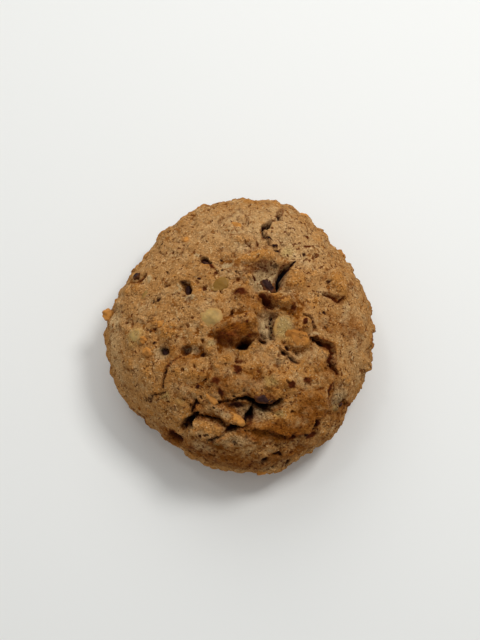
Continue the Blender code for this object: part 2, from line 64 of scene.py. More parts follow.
# The plan isn't quite round: (bearing in degrees from +X, half width in degrees, mm outwards)
PLAN_BULGES = (
    (42, 13, -1.2),
    (75, 26, 1.3),
    (128, 12, 0.9),
    (140, 24, -2.7),
    (190, 14, 0.3),
    (236, 26, -3.0),
    (300, 13, -0.9),
    (332, 17, -1.3),
)

# Crags are laid out as an eye finds them that looks down on the biscuit from the front. Their
# places are mm to the right and upwards, in a plane that faces it through the biscuit's middle.
EYE_RISE = math.radians(72)
EYE_DISTANCE = 320.0
EYE_AIM = np.array((0.0, 0.0, 10.0))
EYE_LIFT = 4.0  # the eye's own axis passes this far above the aim
RIGHT = np.array((1.0, 0.0, 0.0))
UPWARDS = np.array((0.0, math.sin(EYE_RISE), math.cos(EYE_RISE)))
TOWARDS_EYE = np.array((0.0, -math.cos(EYE_RISE), math.sin(EYE_RISE)))
EYE = EYE_AIM + EYE_LIFT * UPWARDS + EYE_DISTANCE * TOWARDS_EYE
LENS = 72.0  # mm
HALVINGS = 40  # of a ray's stretch, to find where it leaves the dough

# A mound or, with a negative height, a hollow: its half sizes, its turn in degrees,
# and how steep its edge is, from 0 for a soft swell to 1 for a step
Mound = namedtuple("Mound", "place halves turn height edge")
# A crack or, with a negative depth, a ridge. The side to the left of its course stands
# higher by rise, which fades out over reach. At the bottom it is painted dark or toasted, as shade
Crack = namedtuple("Crack", "course width depth rise reach inside", defaults=("dark",))
# A piece that stands out of the crust: its half sizes, its turn in degrees, how much of it is
# sunk, 0 to 1, and how deep its colour is, 0 to 1
Chunk = namedtuple("Chunk", "place halves turn sunk deep", defaults=(0,))
# A patch of another colour: its half sizes, its turn in degrees, and how strong it is. Past 1,
# more of it has the full colour
Stain = namedtuple("Stain", "place halves turn strength")
# Small relief that lies all over: how many, their least and greatest half size and height, how
# narrow they may be for their length, and the kinds of stain that are drawn from
Strewn = namedtuple("Strewn", "number halves heights narrowest tints")

MOUNDS = {
    "knob, upper": Mound((1.8, 8.8), (3.7, 4.8), 22, 1.7, 0.6),
    "knob, lower": Mound((-0.6, 1.4), (5.7, 3.6), 12, 2.5, 0.9),
    "knob's shoulder": Mound((2.8, 2.6), (2.0, 2.2), 0, 1.0, 0.6),
    "knob's front lump": Mound((0.6, 0.7), (1.4, 1.2), 10, 0.55, 0.5),
    "knob's right lump": Mound((3.0, 2.8), (1.4, 1.2), 0, 0.5, 0.5),
    "knob's top lump": Mound((-1.1, 5.0), (1.6, 1.1), 0, 0.4, 0.4),
    "knob's left lump": Mound((-2.8, 2.5), (1.4, 1.0), 20, 0.5, 0.5),
    "knob's low corner": Mound((3.8, 0.1), (1.1, 0.9), 0, 0.4, 0.5),
    "orange lump": Mound((14.2, -1.3), (3.4, 2.2), -14, 2.1, 0.7),
    "round lump": Mound((15.4, 2.8), (1.7, 1.7), 0, 1.0, 0.5),
    "lump by the east crack": Mound((19.3, -5.4), (2.8, 2.9), 0, 1.0, 0.4),
    "north plate": Mound((4.0, 27.0), (8.0, 7.0), -20, 0.7, 0.2),
    "north flap": Mound((0.0, 29.5), (1.6, 2.6), 15, 0.5, 0.6),
    "north brow": Mound((4.0, 19.5), (5.0, 1.7), 14, 1.4, 0.6),
    "west brow": Mound((-1.2, 17.0), (1.6, 2.4), -30, 0.9, 0.5),
    "north-east plate": Mound((15.0, 24.0), (7.5, 8.0), 0, 0.6, 0.2),
    "east lump": Mound((14.3, 14.3), (3.0, 3.0), 0, 1.6, 0.5),
    "far east lump": Mound((24.3, 13.2), (2.9, 3.6), 10, 1.9, 0.55),
    "east rim lump": Mound((29.8, 2.2), (2.0, 2.0), 0, 0.9, 0.4),
    "lower east rim lump": Mound((30.4, -6.0), (1.6, 2.2), 0, 0.7, 0.3),
    "south-east plate": Mound((13.0, -13.8), (8.8, 9.2), 20, 1.5, 0.4),
    "middle plate": Mound((-5.0, -9.5), (7.5, 5.0), 5, 0.9, 0.3),
    "plate behind the hairline": Mound((-13.0, -9.8), (5.0, 4.6), 0, 0.9, 0.4),
    "lump below the knob": Mound((-7.2, -2.4), (2.3, 2.1), 0, 1.2, 0.5),
    "second lump below it": Mound((-3.8, -5.8), (2.4, 1.6), 0, 0.8, 0.5),
    "south-west plate": Mound((-20.5, -12.0), (8.0, 8.0), 0, 0.5, 0.1),
    "wedge behind the flap": Mound((-3.6, -19.4), (4.2, 1.7), -30, 1.5, 0.7),
    "south flap": Mound((-7.6, -23.8), (5.0, 2.9), 8, 1.7, 0.7),
    "south pale lump": Mound((0.5, -25.6), (4.4, 2.4), 0, 0.8, 0.3),
    "outer south-east lump": Mound((21.5, -22.5), (3.6, 3.0), 35, 0.9, 0.3),
    "outer east lump": Mound((26.5, -11.5), (3.0, 3.2), 0, 0.7, 0.3),
    "west lump": Mound((-17.8, 1.5), (2.6, 2.9), 0, 1.0, 0.4),
    "far west lump": Mound((-26.4, 0.0), (3.0, 2.2), 0, 0.7, 0.4),
    "lump over the black hole": Mound((-11.5, 15.5), (2.4, 1.3), 0, 0.6, 0.4),
    "lump in the middle hollow": Mound((6.1, 1.9), (1.5, 2.2), 15, 1.3, 0.6),
    "south-west rim lump": Mound((-28.8, -14.0), (1.8, 1.4), 50, 0.9, 0.5),
    "north-west rim lump": Mound((-18.2, 26.8), (2.4, 1.8), 40, 1.0, 0.5),
    "north-east rim lump": Mound((19.0, 29.4), (2.2, 1.6), -35, 0.9, 0.5),
    "upper east rim lump": Mound((24.6, 23.4), (2.2, 1.6), -50, 0.8, 0.5),
    "north hollow": Mound((7.8, 14.2), (5.2, 4.4), 30, -3.1, 0.7),
    "middle hollow": Mound((7.0, 2.2), (2.9, 4.4), -8, -2.4, 0.65),
    "hollow under the orange lump": Mound((14.2, -4.8), (2.4, 1.4), 0, -0.3, 0.4),
    "south hollow": Mound((2.6, -18.9), (6.4, 2.8), -4, -2.3, 0.5),
    "north-west hollow": Mound((-3.7, 18.4), (2.1, 2.0), 10, -1.1, 0.5),
    "hollow by the round hole": Mound((-10.4, -3.9), (2.3, 1.7), 0, -1.3, 0.5),
    "west hollow": Mound((-19.2, -4.6), (2.1, 2.4), 0, -0.8, 0.4),
    "pale hollow in the gully": Mound((11.5, 22.6), (3.2, 3.4), 20, -0.5, 0.1),
}

HOLES = {
    "under the knob": Mound((0.9, -2.3), (2.4, 1.0), 18, -3.4, 0.8),
    "pit in the knob": Mound((-3.7, 0.3), (0.9, 0.6), -10, -0.8, 0.5),
    "gully hole": Mound((6.8, 27.2), (1.9, 1.0), 55, -2.0, 0.7),
    "maroon hole": Mound((-8.7, 18.5), (1.7, 0.8), -32, -1.4, 0.7),
    "black hole": Mound((-13.2, 12.1), (1.1, 1.7), 15, -2.2, 0.8),
    "west rim hole": Mound((-24.6, 14.4), (1.6, 1.2), 5, -1.1, 0.5),
    "purple hole": Mound((-19.2, -4.0), (1.1, 1.4), -20, -1.0, 0.6),
    "round hole": Mound((-13.7, -3.6), (1.4, 1.2), 0, -1.4, 0.7),
    "south-west hole": Mound((-12.9, -21.7), (1.6, 1.2), 20, -3.2, 0.85),
    "south-west hole, upper end": Mound((-11.3, -20.3), (1.5, 0.8), 50, -2.4, 0.8),
    "south-west hole, lower end": Mound((-14.3, -22.9), (1.3, 0.9), 75, -2.0, 0.7),
    "south hole": Mound((6.2, -17.8), (1.9, 1.5), -20, -2.6, 0.8),
    "south hole, right end": Mound((9.0, -16.6), (1.8, 1.0), 25, -2.0, 0.8),
    "south hole, left end": Mound((3.7, -17.0), (1.3, 0.8), -30, -1.4, 0.8),
    "south branch hole": Mound((2.5, -20.3), (0.9, 1.6), -8, -2.0, 0.8),
    "hole in front of the flap": Mound((-1.5, -22.9), (2.0, 0.8), 22, -1.8, 0.8),
    "south-west rim hole": Mound((-16.3, -25.2), (1.8, 2.4), -12, -1.9, 0.6),
    "south-east notch": Mound((18.4, -21.4), (0.9, 1.4), -20, -1.5, 0.6),
    "south pit": Mound((-1.7, -26.4), (1.0, 0.6), -20, -0.8, 0.5),
    "wall pit": Mound((11.2, -32.0), (0.9, 1.6), 0, -1.3, 0.6),
    "wall slit": Mound((6.0, -31.2), (1.3, 1.3), 0, -1.2, 0.6),
    "upper wall slit": Mound((9.0, -29.5), (1.1, 0.9), 0, -1.0, 0.6),
}

CRACKS = {
    "north gully": Crack(
        ((10.8, 33.0), (9.5, 30.6), (9.7, 29.0), (7.6, 28.2), (5.9, 26.2), (6.1, 24.3), (7.6, 22.6),
         (9.2, 20.8)),
        0.8, 1.0, 0.4, 4.0,
    ),
    "black gap": Crack(
        ((13.4, 18.3), (11.4, 17.4), (10.6, 15.8), (10.0, 13.8), (9.0, 10.9)),
        1.2, 3.2, 0.3, 2.0,
    ),
    "gap beside the knob": Crack(
        ((4.9, 10.4), (6.2, 8.9), (7.6, 7.4), (8.4, 6.6)),
        1.7, 1.5, 0.0, 1.0, "toasted",
    ),
    "dotted seam": Crack(((7.8, 6.6), (7.9, 4.4), (8.6, 2.2), (8.4, 0.4), (9.0, -1.6)), 0.7, 0.9, 0.0, 1.0),
    "bridge": Crack(((4.8, 11.4), (7.6, 9.4), (10.4, 8.3), (13.8, 7.8)), 2.6, -3.0, 0.0, 1.0),
    "under the brow": Crack(
        ((8.6, 18.3), (5.0, 17.6), (2.0, 16.4), (-0.4, 15.2)),
        0.8, 0.6, 0.0, 2.0, "toasted",
    ),
    "north hairline": Crack(
        ((-0.5, 32.0), (0.6, 30.7), (1.6, 29.4), (1.8, 27.9), (0.8, 26.6)),
        0.5, 0.5, 0.0, 2.0,
    ),
    "under the knob, right": Crack(((4.2, -0.8), (6.4, -1.5), (7.2, -1.0)), 0.8, 1.4, 0.0, 1.0),
    "foot of the knob": Crack(((-6.2, -0.2), (-3.6, -1.2), (-1.0, -2.2)), 1.4, 0.7, 0.6, 2.0, "toasted"),
    "middle seam": Crack(((9.6, -2.8), (11.2, -4.4), (12.6, -5.7), (15.0, -6.8)), 0.8, 1.1, 0.0, 2.0),
    "east seam": Crack(
        ((15.5, 5.7), (17.0, 4.8), (18.0, 3.4), (18.8, 2.0), (19.7, 1.3)),
        0.6, 0.8, 0.2, 2.0,
    ),
    "east crack": Crack(
        ((17.7, -0.2), (20.0, -1.3), (21.3, -2.3), (22.7, -3.0), (23.0, -4.4), (22.2, -6.2), (22.9, -7.6),
         (24.4, -9.6)),
        1.35, 2.0, 0.3, 3.0, "toasted",
    ),
    "east crack's top": Crack(((17.9, -0.3), (19.4, -1.0), (20.6, -1.8)), 0.9, 1.8, 0.2, 1.5),
    "east crease": Crack(
        ((20.2, 11.2), (22.4, 10.1), (24.6, 8.9), (26.4, 9.6)),
        0.9, 1.0, 0.5, 3.0, "toasted",
    ),
    "south crack": Crack(
        ((-2.2, -16.4), (-0.4, -15.9), (1.6, -15.6), (3.0, -16.8), (4.4, -17.2), (6.4, -17.8),
         (9.0, -16.9), (11.0, -15.2)),
        1.2, 2.8, -0.8, 3.0,
    ),
    "south crack's left end": Crack(((-6.9, -17.4), (-4.4, -16.4), (-2.2, -16.2)), 0.6, 1.0, -0.4, 3.0),
    "south branch": Crack(
        ((3.4, -17.2), (3.0, -19.2), (1.8, -21.4), (0.2, -22.4), (-2.4, -23.6)),
        1.2, 2.0, 0.5, 2.0,
    ),
    "flap's front": Crack(((-2.4, -23.6), (-5.2, -24.6), (-8.0, -25.9)), 0.6, 1.0, 0.5, 2.0),
    "flap's top": Crack(((-12.0, -20.6), (-9.0, -20.5), (-5.6, -21.0), (-2.6, -23.0)), 0.7, 1.3, -0.5, 2.0),
    "south-west seam": Crack(((-12.2, -19.6), (-11.4, -17.8), (-10.6, -16.0)), 0.8, 1.3, 0.2, 3.0),
    "hairline": Crack(
        ((-13.4, -4.6), (-15.8, -5.5), (-17.0, -6.4), (-18.0, -7.4), (-18.6, -8.7), (-18.8, -10.3),
         (-19.3, -12.3), (-18.5, -13.6)),
        0.45, 0.6, 0.1, 2.0,
    ),
    "hairline's end": Crack(
        ((-17.8, -13.4), (-20.9, -14.8), (-22.0, -16.0), (-24.0, -16.2)),
        0.45, 0.5, 0.1, 2.0,
    ),
    "south ledge": Crack(
        ((1.4, -23.9), (4.0, -23.0), (7.0, -23.6), (10.5, -24.6), (14.0, -24.7), (16.8, -23.8),
         (18.4, -21.4), (20.5, -19.5), (21.6, -17.4), (21.3, -15.5), (22.0, -13.6), (22.3, -12.0),
         (23.4, -10.2)),
        0.8, 0.9, 1.6, 7.0,
    ),
    "outer east crack": Crack(((25.6, -15.0), (26.4, -16.8), (27.4, -18.8)), 0.6, 1.0, 0.3, 2.0),
    "east rim crevice": Crack(((32.4, 6.4), (32.9, 3.0), (32.6, -0.6), (31.8, -3.6)), 1.4, 1.0, 0.2, 1.5),
    "south-west rim crack": Crack(((-11.6, -26.8), (-12.4, -28.2), (-11.6, -30.0)), 0.6, 0.9, 0.3, 2.0),
    "west rim crack": Crack(
        ((-28.0, -15.8), (-26.6, -17.8), (-25.2, -19.6), (-23.8, -21.6), (-21.8, -23.8)),
        1.0, 1.1, 0.3, 2.0, "toasted",
    ),
}

GINGER = {
    "large": Chunk((-7.1, 4.5), (2.9, 2.6, 1.3), 8, 0.80),
    "olive flake": Chunk((-5.2, 13.2), (2.4, 1.8, 1.0), 8, 0.76, 1.0),
    "middle": Chunk((11.0, 2.2), (2.3, 3.1, 0.9), -8, 0.92, 0.25),
    "west": Chunk((-26.0, 0.0), (1.9, 1.6, 0.7), 25, 0.86),
    "west sliver": Chunk((-23.8, 10.6), (1.3, 0.65, 0.7), 50, 0.76, 0.7),
}

NUTS = {
    "at the rim": Chunk((-32.0, 5.0), (1.4, 1.7, 1.9), 6, 0.36),
    "gold top": Chunk((-0.8, 27.0), (1.6, 0.9, 0.8), -25, 0.62),
    "north-west": Chunk((-13.5, 24.2), (0.95, 1.05, 0.7), 0, 0.66),
    "by the black hole": Chunk((-10.2, 11.5), (1.0, 0.8, 0.7), 0, 0.62),
    "on the west lump": Chunk((-19.8, 3.1), (1.2, 1.3, 0.9), 0, 0.56),
    "west": Chunk((-24.2, -0.9), (1.1, 1.5, 0.9), -15, 0.58),
    "lower west": Chunk((-23.0, -3.9), (1.6, 1.3, 0.9), 0, 0.56),
    "orange": Chunk((-7.0, -15.5), (2.2, 1.3, 1.1), -50, 0.54),
    "end of the wedge": Chunk((-1.5, -20.7), (2.9, 1.35, 1.1), -32, 0.92),
    "orange lump": Chunk((14.2, -0.8), (3.5, 2.3, 1.7), -14, 0.92, 0.4),
    "north rim": Chunk((-8.6, 32.2), (1.9, 1.1, 1.0), 25, 0.5),
    "south-west rim": Chunk((-11.2, -30.9), (1.9, 0.7, 0.8), -35, 0.55),
    "south rim": Chunk((5.4, -34.4), (1.5, 0.7, 0.8), 8, 0.5),
}

FRUIT = {
    "in the north hollow": Chunk((7.5, 13.9), (2.3, 1.4, 1.0), -48, 0.56),
    "in the south crack": Chunk((6.2, -15.6), (2.6, 1.2, 1.0), -4, 0.8),
    "in the black hole": Chunk((-13.2, 12.0), (0.9, 1.4, 0.8), 15, 0.5),
    "maroon": Chunk((-8.7, 18.5), (1.4, 0.6, 0.6), -32, 0.5),
    "west rim": Chunk((-25.2, 14.6), (1.0, 0.9, 0.7), 0, 0.4),
    "purple": Chunk((-19.2, -4.0), (0.9, 0.8, 0.6), 0, 0.5),
    "south-east": Chunk((25.3, -17.2), (0.8, 0.6, 0.5), 0, 0.6),
}

STAINS = {
    # Pale with flour, and painted light where the top and the left rim catch the light
    "floury": (
        Stain((4.0, 27.5), (18.0, 8.0), 0, 0.6),
        Stain((-20.0, 20.0), (8.0, 8.0), 0, 0.15),
        Stain((-31.5, 0.0), (3.5, 16.0), 0, 0.7),
        Stain((30.0, -4.0), (5.0, 13.0), 0, 0.2),
        Stain((15.0, 21.0), (8.0, 8.0), 0, 0.45),
        Stain((-9.5, -28.0), (3.6, 2.6), 0, 0.6),
        Stain((10.0, -5.5), (4.5, 2.6), 0, 0.5),
        Stain((2.5, 22.5), (4.5, 2.5), 0, 0.4),
    ),
    # High places and nut crumbs
    "golden": (
        Stain((9.6, 8.9), (5.0, 1.6), -14, 1.2),
        Stain((4.0, 19.5), (5.0, 1.5), 14, 1.0),
        Stain((-18.0, -12.0), (11.0, 12.0), 0, 0.4),
        Stain((1.6, 2.6), (3.4, 1.8), 8, 0.8),
        Stain((4.2, 7.4), (1.6, 2.6), 10, 0.7),
        Stain((8.0, -8.5), (14.0, 7.0), 0, 0.45),
        Stain((12.0, -16.0), (9.5, 8.0), 0, 0.6),
        Stain((24.3, 13.2), (2.8, 3.4), 10, 0.9),
        Stain((14.3, 14.3), (2.8, 2.8), 0, 0.55),
        Stain((15.4, 3.2), (2.3, 2.3), 0, 1.2),
        Stain((17.8, 19.2), (1.3, 1.0), 0, 0.8),
        Stain((29.8, 2.2), (1.8, 1.6), 0, 0.8),
        Stain((30.4, -6.0), (1.2, 1.8), 0, 0.6),
        Stain((-28.8, -14.0), (1.6, 1.2), 50, 1.0),
        Stain((-13.5, 24.2), (1.6, 1.5), 0, 0.7),
        Stain((-18.0, 1.2), (2.4, 2.6), 0, 0.6),
        Stain((-6.9, -15.6), (2.4, 1.7), -30, 0.7),
        Stain((-1.4, -20.6), (3.2, 1.7), -30, 1.1),
        Stain((14.2, -1.4), (3.3, 2.2), -14, 1.1),
        Stain((-3.6, -5.6), (2.4, 1.6), 0, 0.5),
        Stain((-1.0, 26.6), (3.0, 1.6), -20, 0.5),
        Stain((-13.0, -9.8), (5.0, 4.0), 0, 0.35),
        Stain((15.4, -23.2), (2.2, 0.9), 20, 1.1),
        Stain((-8.8, -26.0), (3.0, 0.9), -20, 0.6),
    ),
    # Well baked, and painted shade on the front wall and the lower right, which face away from the light
    "browned": (
        Stain((-1.4, 0.6), (5.9, 3.9), 12, 0.9),
        Stain((2.4, 8.4), (4.0, 4.6), 20, 0.55),
        Stain((9.0, -24.0), (13.0, 4.4), 0, 0.8),
        Stain((22.0, -9.5), (5.0, 5.0), 0, 0.5),
        Stain((-12.6, -3.2), (5.0, 3.2), 0, 0.35),
        Stain((14.0, 8.0), (5.0, 5.0), 0, 0.4),
        Stain((22.5, 3.5), (4.5, 5.0), 0, 0.5),
        Stain((24.5, -17.5), (7.0, 7.0), 0, 0.55),
        Stain((27.5, 2.0), (5.5, 5.0), 0, 0.6),
        Stain((-17.5, -25.0), (5.0, 4.0), -35, 0.8),
        Stain((17.5, -17.5), (6.5, 7.0), 0, 0.7),
        Stain((-4.0, -12.0), (4.4, 4.2), 0, 0.65),
        Stain((-10.5, -17.5), (5.0, 4.0), 0, 0.45),
        Stain((-3.6, -18.6), (4.2, 3.2), -20, 0.55),
        Stain((3.5, -25.5), (5.0, 3.4), 0, 0.55),
        Stain((-16.0, -4.8), (9.5, 4.6), 0, 0.45),
        Stain((4.0, -11.0), (10.0, 5.0), 0, 0.5),
        Stain((14.0, -1.2), (3.4, 2.4), -14, 0.5),
        Stain((-6.0, -11.0), (8.0, 5.0), 0, 0.4),
        Stain((0.0, -31.5), (30.0, 5.0), 0, 0.65),
        Stain((-16.5, -14.0), (8.0, 9.0), 0, 0.3),
        Stain((-8.0, -27.5), (10.0, 4.0), 10, 0.5),
        Stain((-0.6, 17.6), (2.0, 1.8), 30, 0.5),
    ),
    # The brownest from the oven, and painted shadow under the north brow
    "toasted": (
        # Wide patches
        Stain((-2.4, -0.2), (4.2, 1.4), -10, 0.6),
        Stain((-4.0, 0.2), (1.6, 0.6), -10, 0.6),
        Stain((2.8, -0.4), (1.8, 0.9), 20, 0.7),
        Stain((0.0, 10.7), (2.1, 1.2), 10, 0.9),
        # Painted shadow under the north brow
        Stain((2.4, 16.7), (2.6, 0.4), 24, 0.35),
        Stain((6.6, 8.6), (1.6, 0.7), -40, 0.7),
        Stain((23.0, 9.8), (2.2, 0.6), -25, 0.7),
        Stain((27.6, 12.8), (0.9, 2.0), 0, 0.5),
        Stain((12.7, -11.9), (1.4, 1.1), 0, 1.0),
        Stain((16.4, -11.0), (1.4, 0.9), 0, 0.8),
        Stain((19.0, -21.3), (1.4, 1.2), -20, 1.3),
        Stain((17.6, -24.6), (1.7, 1.0), 10, 1.3),
        Stain((13.3, -25.1), (1.6, 0.8), 10, 1.2),
        Stain((21.9, -13.4), (0.9, 2.4), -10, 1.2),
        Stain((-5.6, -11.0), (1.6, 1.3), 0, 0.8),
        Stain((0.2, -6.2), (1.4, 1.2), 30, 0.6),
        Stain((-0.6, -8.6), (1.1, 1.5), 20, 0.9),
        Stain((-12.2, -28.2), (0.8, 1.8), 0, 0.5),
        Stain((4.0, -34.5), (3.0, 0.8), 0, 0.4),
        Stain((-10.0, -4.2), (2.2, 1.3), 0, 0.35),
        Stain((-7.0, 17.1), (1.4, 0.5), -35, 0.9),
        Stain((-24.6, 14.2), (1.9, 1.2), 0, 0.9),
        Stain((6.4, -15.2), (3.2, 1.4), 0, 0.6),
        Stain((-16.3, -25.0), (2.4, 3.0), -12, 1.3),
        # Spots
        Stain((-0.9, 1.1), (0.6, 0.45), 0, 0.8),
        Stain((1.8, 2.4), (0.6, 0.4), 0, 0.8),
        Stain((13.2, 7.2), (0.9, 1.3), 0, 0.8),
        Stain((15.6, 3.2), (0.7, 1.0), 0, 1.1),
        Stain((25.4, 2.6), (0.7, 1.2), 0, 0.4),
        Stain((22.5, 1.0), (0.8, 0.6), 0, 0.5),
        Stain((24.0, -9.0), (0.9, 1.1), 40, 0.9),
        Stain((-4.6, -13.8), (0.8, 1.2), 0, 1.0),
        Stain((-10.3, -12.6), (0.8, 0.8), 0, 1.0),
        Stain((9.4, 29.8), (1.0, 0.6), 50, 0.8),
        Stain((16.8, 21.9), (1.3, 0.5), 10, 0.9),
        Stain((16.6, 24.4), (0.9, 0.7), 0, 0.8),
        Stain((14.2, 27.8), (0.7, 0.4), -30, 0.7),
        Stain((18.0, 26.6), (0.8, 0.5), 20, 0.7),
    ),
    # Pale crumb that the oven didn't reach
    "crumb": (
        Stain((-4.4, -18.8), (3.0, 1.4), -30, 0.6),
        Stain((7.2, 14.6), (5.6, 4.6), 30, 1.05),
        Stain((7.0, 2.2), (3.0, 4.5), -8, 0.85),
        Stain((10.9, 2.6), (2.6, 3.0), 0, 0.7),
        Stain((14.2, -5.0), (2.4, 1.4), 0, 0.4),
        Stain((18.9, 0.7), (1.1, 0.7), 0, 0.8),
        Stain((3.6, -19.4), (5.0, 2.6), 0, 0.7),
        Stain((-3.3, 17.6), (2.0, 1.4), 0, 0.9),
        Stain((11.4, 22.8), (3.6, 3.8), 20, 0.35),
        Stain((-19.6, -4.2), (2.4, 2.6), 0, 0.6),
        Stain((-11.4, -3.4), (1.6, 1.2), 0, 0.6),
        Stain((-1.0, -25.8), (5.0, 2.2), 0, 0.5),
        Stain((24.5, -15.5), (3.0, 4.0), 0, 0.6),
        Stain((26.5, 6.5), (1.5, 4.0), -15, 0.5),
        Stain((-6.6, -2.0), (1.4, 1.0), 0, 0.6),
        Stain((-9.6, -7.6), (2.0, 1.6), 0, 0.3),
        Stain((-13.6, -9.0), (2.4, 2.2), 0, 0.25),
        Stain((-12.6, 9.7), (1.4, 0.9), 10, 1.0),
        Stain((-14.8, 12.0), (0.6, 1.3), 0, 0.8),
        Stain((-10.6, 20.2), (1.2, 0.7), -30, 0.8),
        Stain((-22.8, 14.3), (0.9, 1.2), 0, 0.9),
        Stain((-13.4, -3.3), (0.8, 0.6), 0, 0.9),
    ),
    # Ginger just under the crust
    "ginger": (
        Stain((23.8, -18.0), (1.4, 1.4), 0, 0.5),
        Stain((11.0, 2.0), (2.5, 3.3), -8, 0.9),
        Stain((-26.0, 0.0), (2.5, 2.1), 25, 0.7),
        Stain((7.5, -11.2), (1.8, 1.4), 0, 0.7),
        Stain((9.6, -19.2), (1.5, 1.2), 0, 0.7),
        Stain((-18.4, -14.8), (1.7, 1.4), 0, 0.7),
        Stain((11.8, 20.9), (2.0, 1.7), 30, 0.85),
        Stain((-6.2, -27.0), (0.8, 0.5), 0, 0.7),
        Stain((-7.0, -2.0), (1.4, 0.9), 0, 0.5),
        Stain((-14.6, -16.2), (1.6, 1.0), 0, 0.4),
    ),
    # Fruit juice, and painted shade at the bottoms of cracks and holes, on shadowed crumb and on the front
    # wall
    "dark": (
        # Wide patches: painted shade at the bottoms of holes and cracks, on shadowed crumb and on the front
        # wall, and juice round the fruit
        Stain((24.0, -18.0), (6.0, 5.0), 0, 0.32),
        Stain((-4.4, -20.6), (3.2, 0.8), -30, 0.5),
        Stain((2.0, -33.0), (20.0, 3.0), 0, 0.3),
        Stain((-1.0, -17.4), (3.2, 1.1), -8, 0.8),
        Stain((1.0, -19.4), (2.6, 2.0), 0, 0.42),
        Stain((-13.1, 12.1), (1.0, 1.6), 15, 1.0),
        Stain((-8.7, 18.5), (1.9, 0.9), -32, 1.2),
        Stain((-19.2, -4.0), (1.1, 1.4), -20, 1.0),
        Stain((-13.7, -3.6), (1.5, 1.3), 0, 0.7),
        Stain((-19.6, 22.6), (1.4, 0.45), 32, 1.2),
        Stain((6.8, 27.2), (2.2, 1.1), 55, 1.2),
        Stain((11.3, 16.8), (0.75, 1.5), -45, 2.0),
        Stain((10.2, 14.6), (0.65, 2.1), -16, 2.0),
        Stain((0.9, -2.3), (2.4, 1.0), 18, 1.1),
        Stain((6.9, 13.0), (1.7, 1.0), -40, 0.35),
        Stain((-12.9, -21.7), (1.8, 1.4), 20, 1.4),
        Stain((-11.3, -20.3), (1.4, 0.7), 50, 1.1),
        Stain((-16.2, -25.2), (1.9, 2.4), -12, 1.2),
        Stain((6.2, -17.6), (2.0, 1.5), -20, 1.2),
        Stain((9.0, -16.4), (1.9, 0.9), 25, 1.1),
        Stain((3.7, -16.9), (1.4, 0.8), -30, 1.0),
        Stain((2.5, -20.3), (1.0, 1.8), -8, 1.2),
        Stain((-1.4, -22.8), (2.3, 0.9), 22, 1.3),
        Stain((11.2, -32.0), (0.9, 1.6), 0, 1.2),
        # Spots: fruit skin and juice, and painted shade in pits, slits, seams and along the hairline
        Stain((-1.0, -9.6), (0.8, 0.5), 20, 0.7),
        Stain((-10.2, -12.8), (0.6, 0.8), 0, 0.8),
        Stain((-4.7, -14.0), (0.6, 0.8), 0, 0.7),
        Stain((-13.9, 13.4), (1.0, 0.5), 30, 0.7),
        Stain((-5.0, 19.3), (0.6, 0.5), 0, 0.9),
        Stain((-4.2, 16.2), (0.7, 0.3), -30, 0.9),
        Stain((-0.8, 16.0), (0.5, 0.4), 0, 0.8),
        Stain((-21.2, -2.0), (0.9, 0.4), 15, 0.8),
        Stain((-22.2, 1.0), (0.6, 0.4), -30, 0.8),
        Stain((-9.4, -4.7), (1.0, 0.6), 40, 0.9),
        Stain((-16.4, -5.9), (0.45, 0.25), 30, 0.8),
        Stain((-18.1, -7.6), (0.3, 0.45), 0, 0.9),
        Stain((-18.7, -9.3), (0.35, 0.4), 0, 0.9),
        Stain((-18.9, -11.0), (0.3, 0.4), 0, 0.8),
        Stain((-19.2, -12.3), (0.4, 0.4), 0, 0.9),
        Stain((-18.5, -13.7), (0.5, 0.3), 30, 0.9),
        Stain((-20.7, -14.7), (0.5, 0.3), 20, 0.9),
        Stain((-10.1, 14.4), (0.6, 0.35), 15, 0.9),
        Stain((-23.8, -10.3), (0.45, 0.4), 0, 0.9),
        Stain((-26.2, 7.0), (0.45, 0.35), 0, 0.8),
        Stain((-26.0, 10.3), (0.8, 0.3), 35, 0.8),
        Stain((-21.8, 8.6), (0.35, 0.7), 0, 0.8),
        Stain((-29.2, 7.4), (0.5, 0.4), 0, 0.5),
        Stain((-7.8, 11.8), (0.3, 0.25), 0, 0.8),
        Stain((9.6, 31.0), (0.8, 0.5), 50, 0.8),
        Stain((6.8, 24.2), (1.0, 0.5), 20, 0.8),
        Stain((7.4, 24.0), (0.9, 0.45), -45, 1.1),
        Stain((8.5, 22.3), (0.9, 0.45), -55, 1.2),
        Stain((9.0, 21.0), (0.8, 0.5), -20, 1.1),
        Stain((5.8, 33.4), (0.7, 0.5), 0, 0.7),
        Stain((-2.2, 33.6), (0.5, 0.5), 0, 0.6),
        Stain((15.8, 20.0), (0.6, 0.8), 0, 0.9),
        Stain((9.0, 18.0), (1.1, 0.7), 0, 0.7),
        Stain((9.3, 11.8), (0.5, 1.3), -18, 1.8),
        Stain((13.3, 18.3), (1.0, 0.4), 25, 1.1),
        Stain((-3.5, 0.0), (0.7, 0.5), 0, 0.5),
        Stain((7.75, 5.0), (0.35, 0.5), 0, 1.0),
        Stain((7.9, 3.6), (0.3, 0.4), 0, 0.9),
        Stain((8.4, 2.4), (0.4, 0.5), 0, 1.0),
        Stain((8.6, 1.0), (0.3, 0.4), 0, 0.9),
        Stain((8.3, -0.6), (0.4, 0.5), 0, 1.0),
        Stain((11.8, 11.6), (0.9, 1.2), 20, 0.5),
        Stain((-14.3, -22.9), (1.2, 0.8), 75, 1.0),
        Stain((25.3, -17.2), (0.9, 0.7), 0, 0.8),
        Stain((29.0, -15.5), (1.1, 0.5), 20, 0.8),
        Stain((30.8, -10.4), (0.5, 1.1), 0, 0.8),
        Stain((18.8, -21.2), (0.8, 0.7), -20, 1.0),
        Stain((16.9, -24.3), (1.0, 0.6), 0, 1.1),
        Stain((21.4, -14.9), (0.5, 0.8), -10, 0.9),
        Stain((20.8, -2.0), (1.0, 0.5), -30, 1.1),
        Stain((18.0, -0.2), (0.5, 0.35), 0, 1.1),
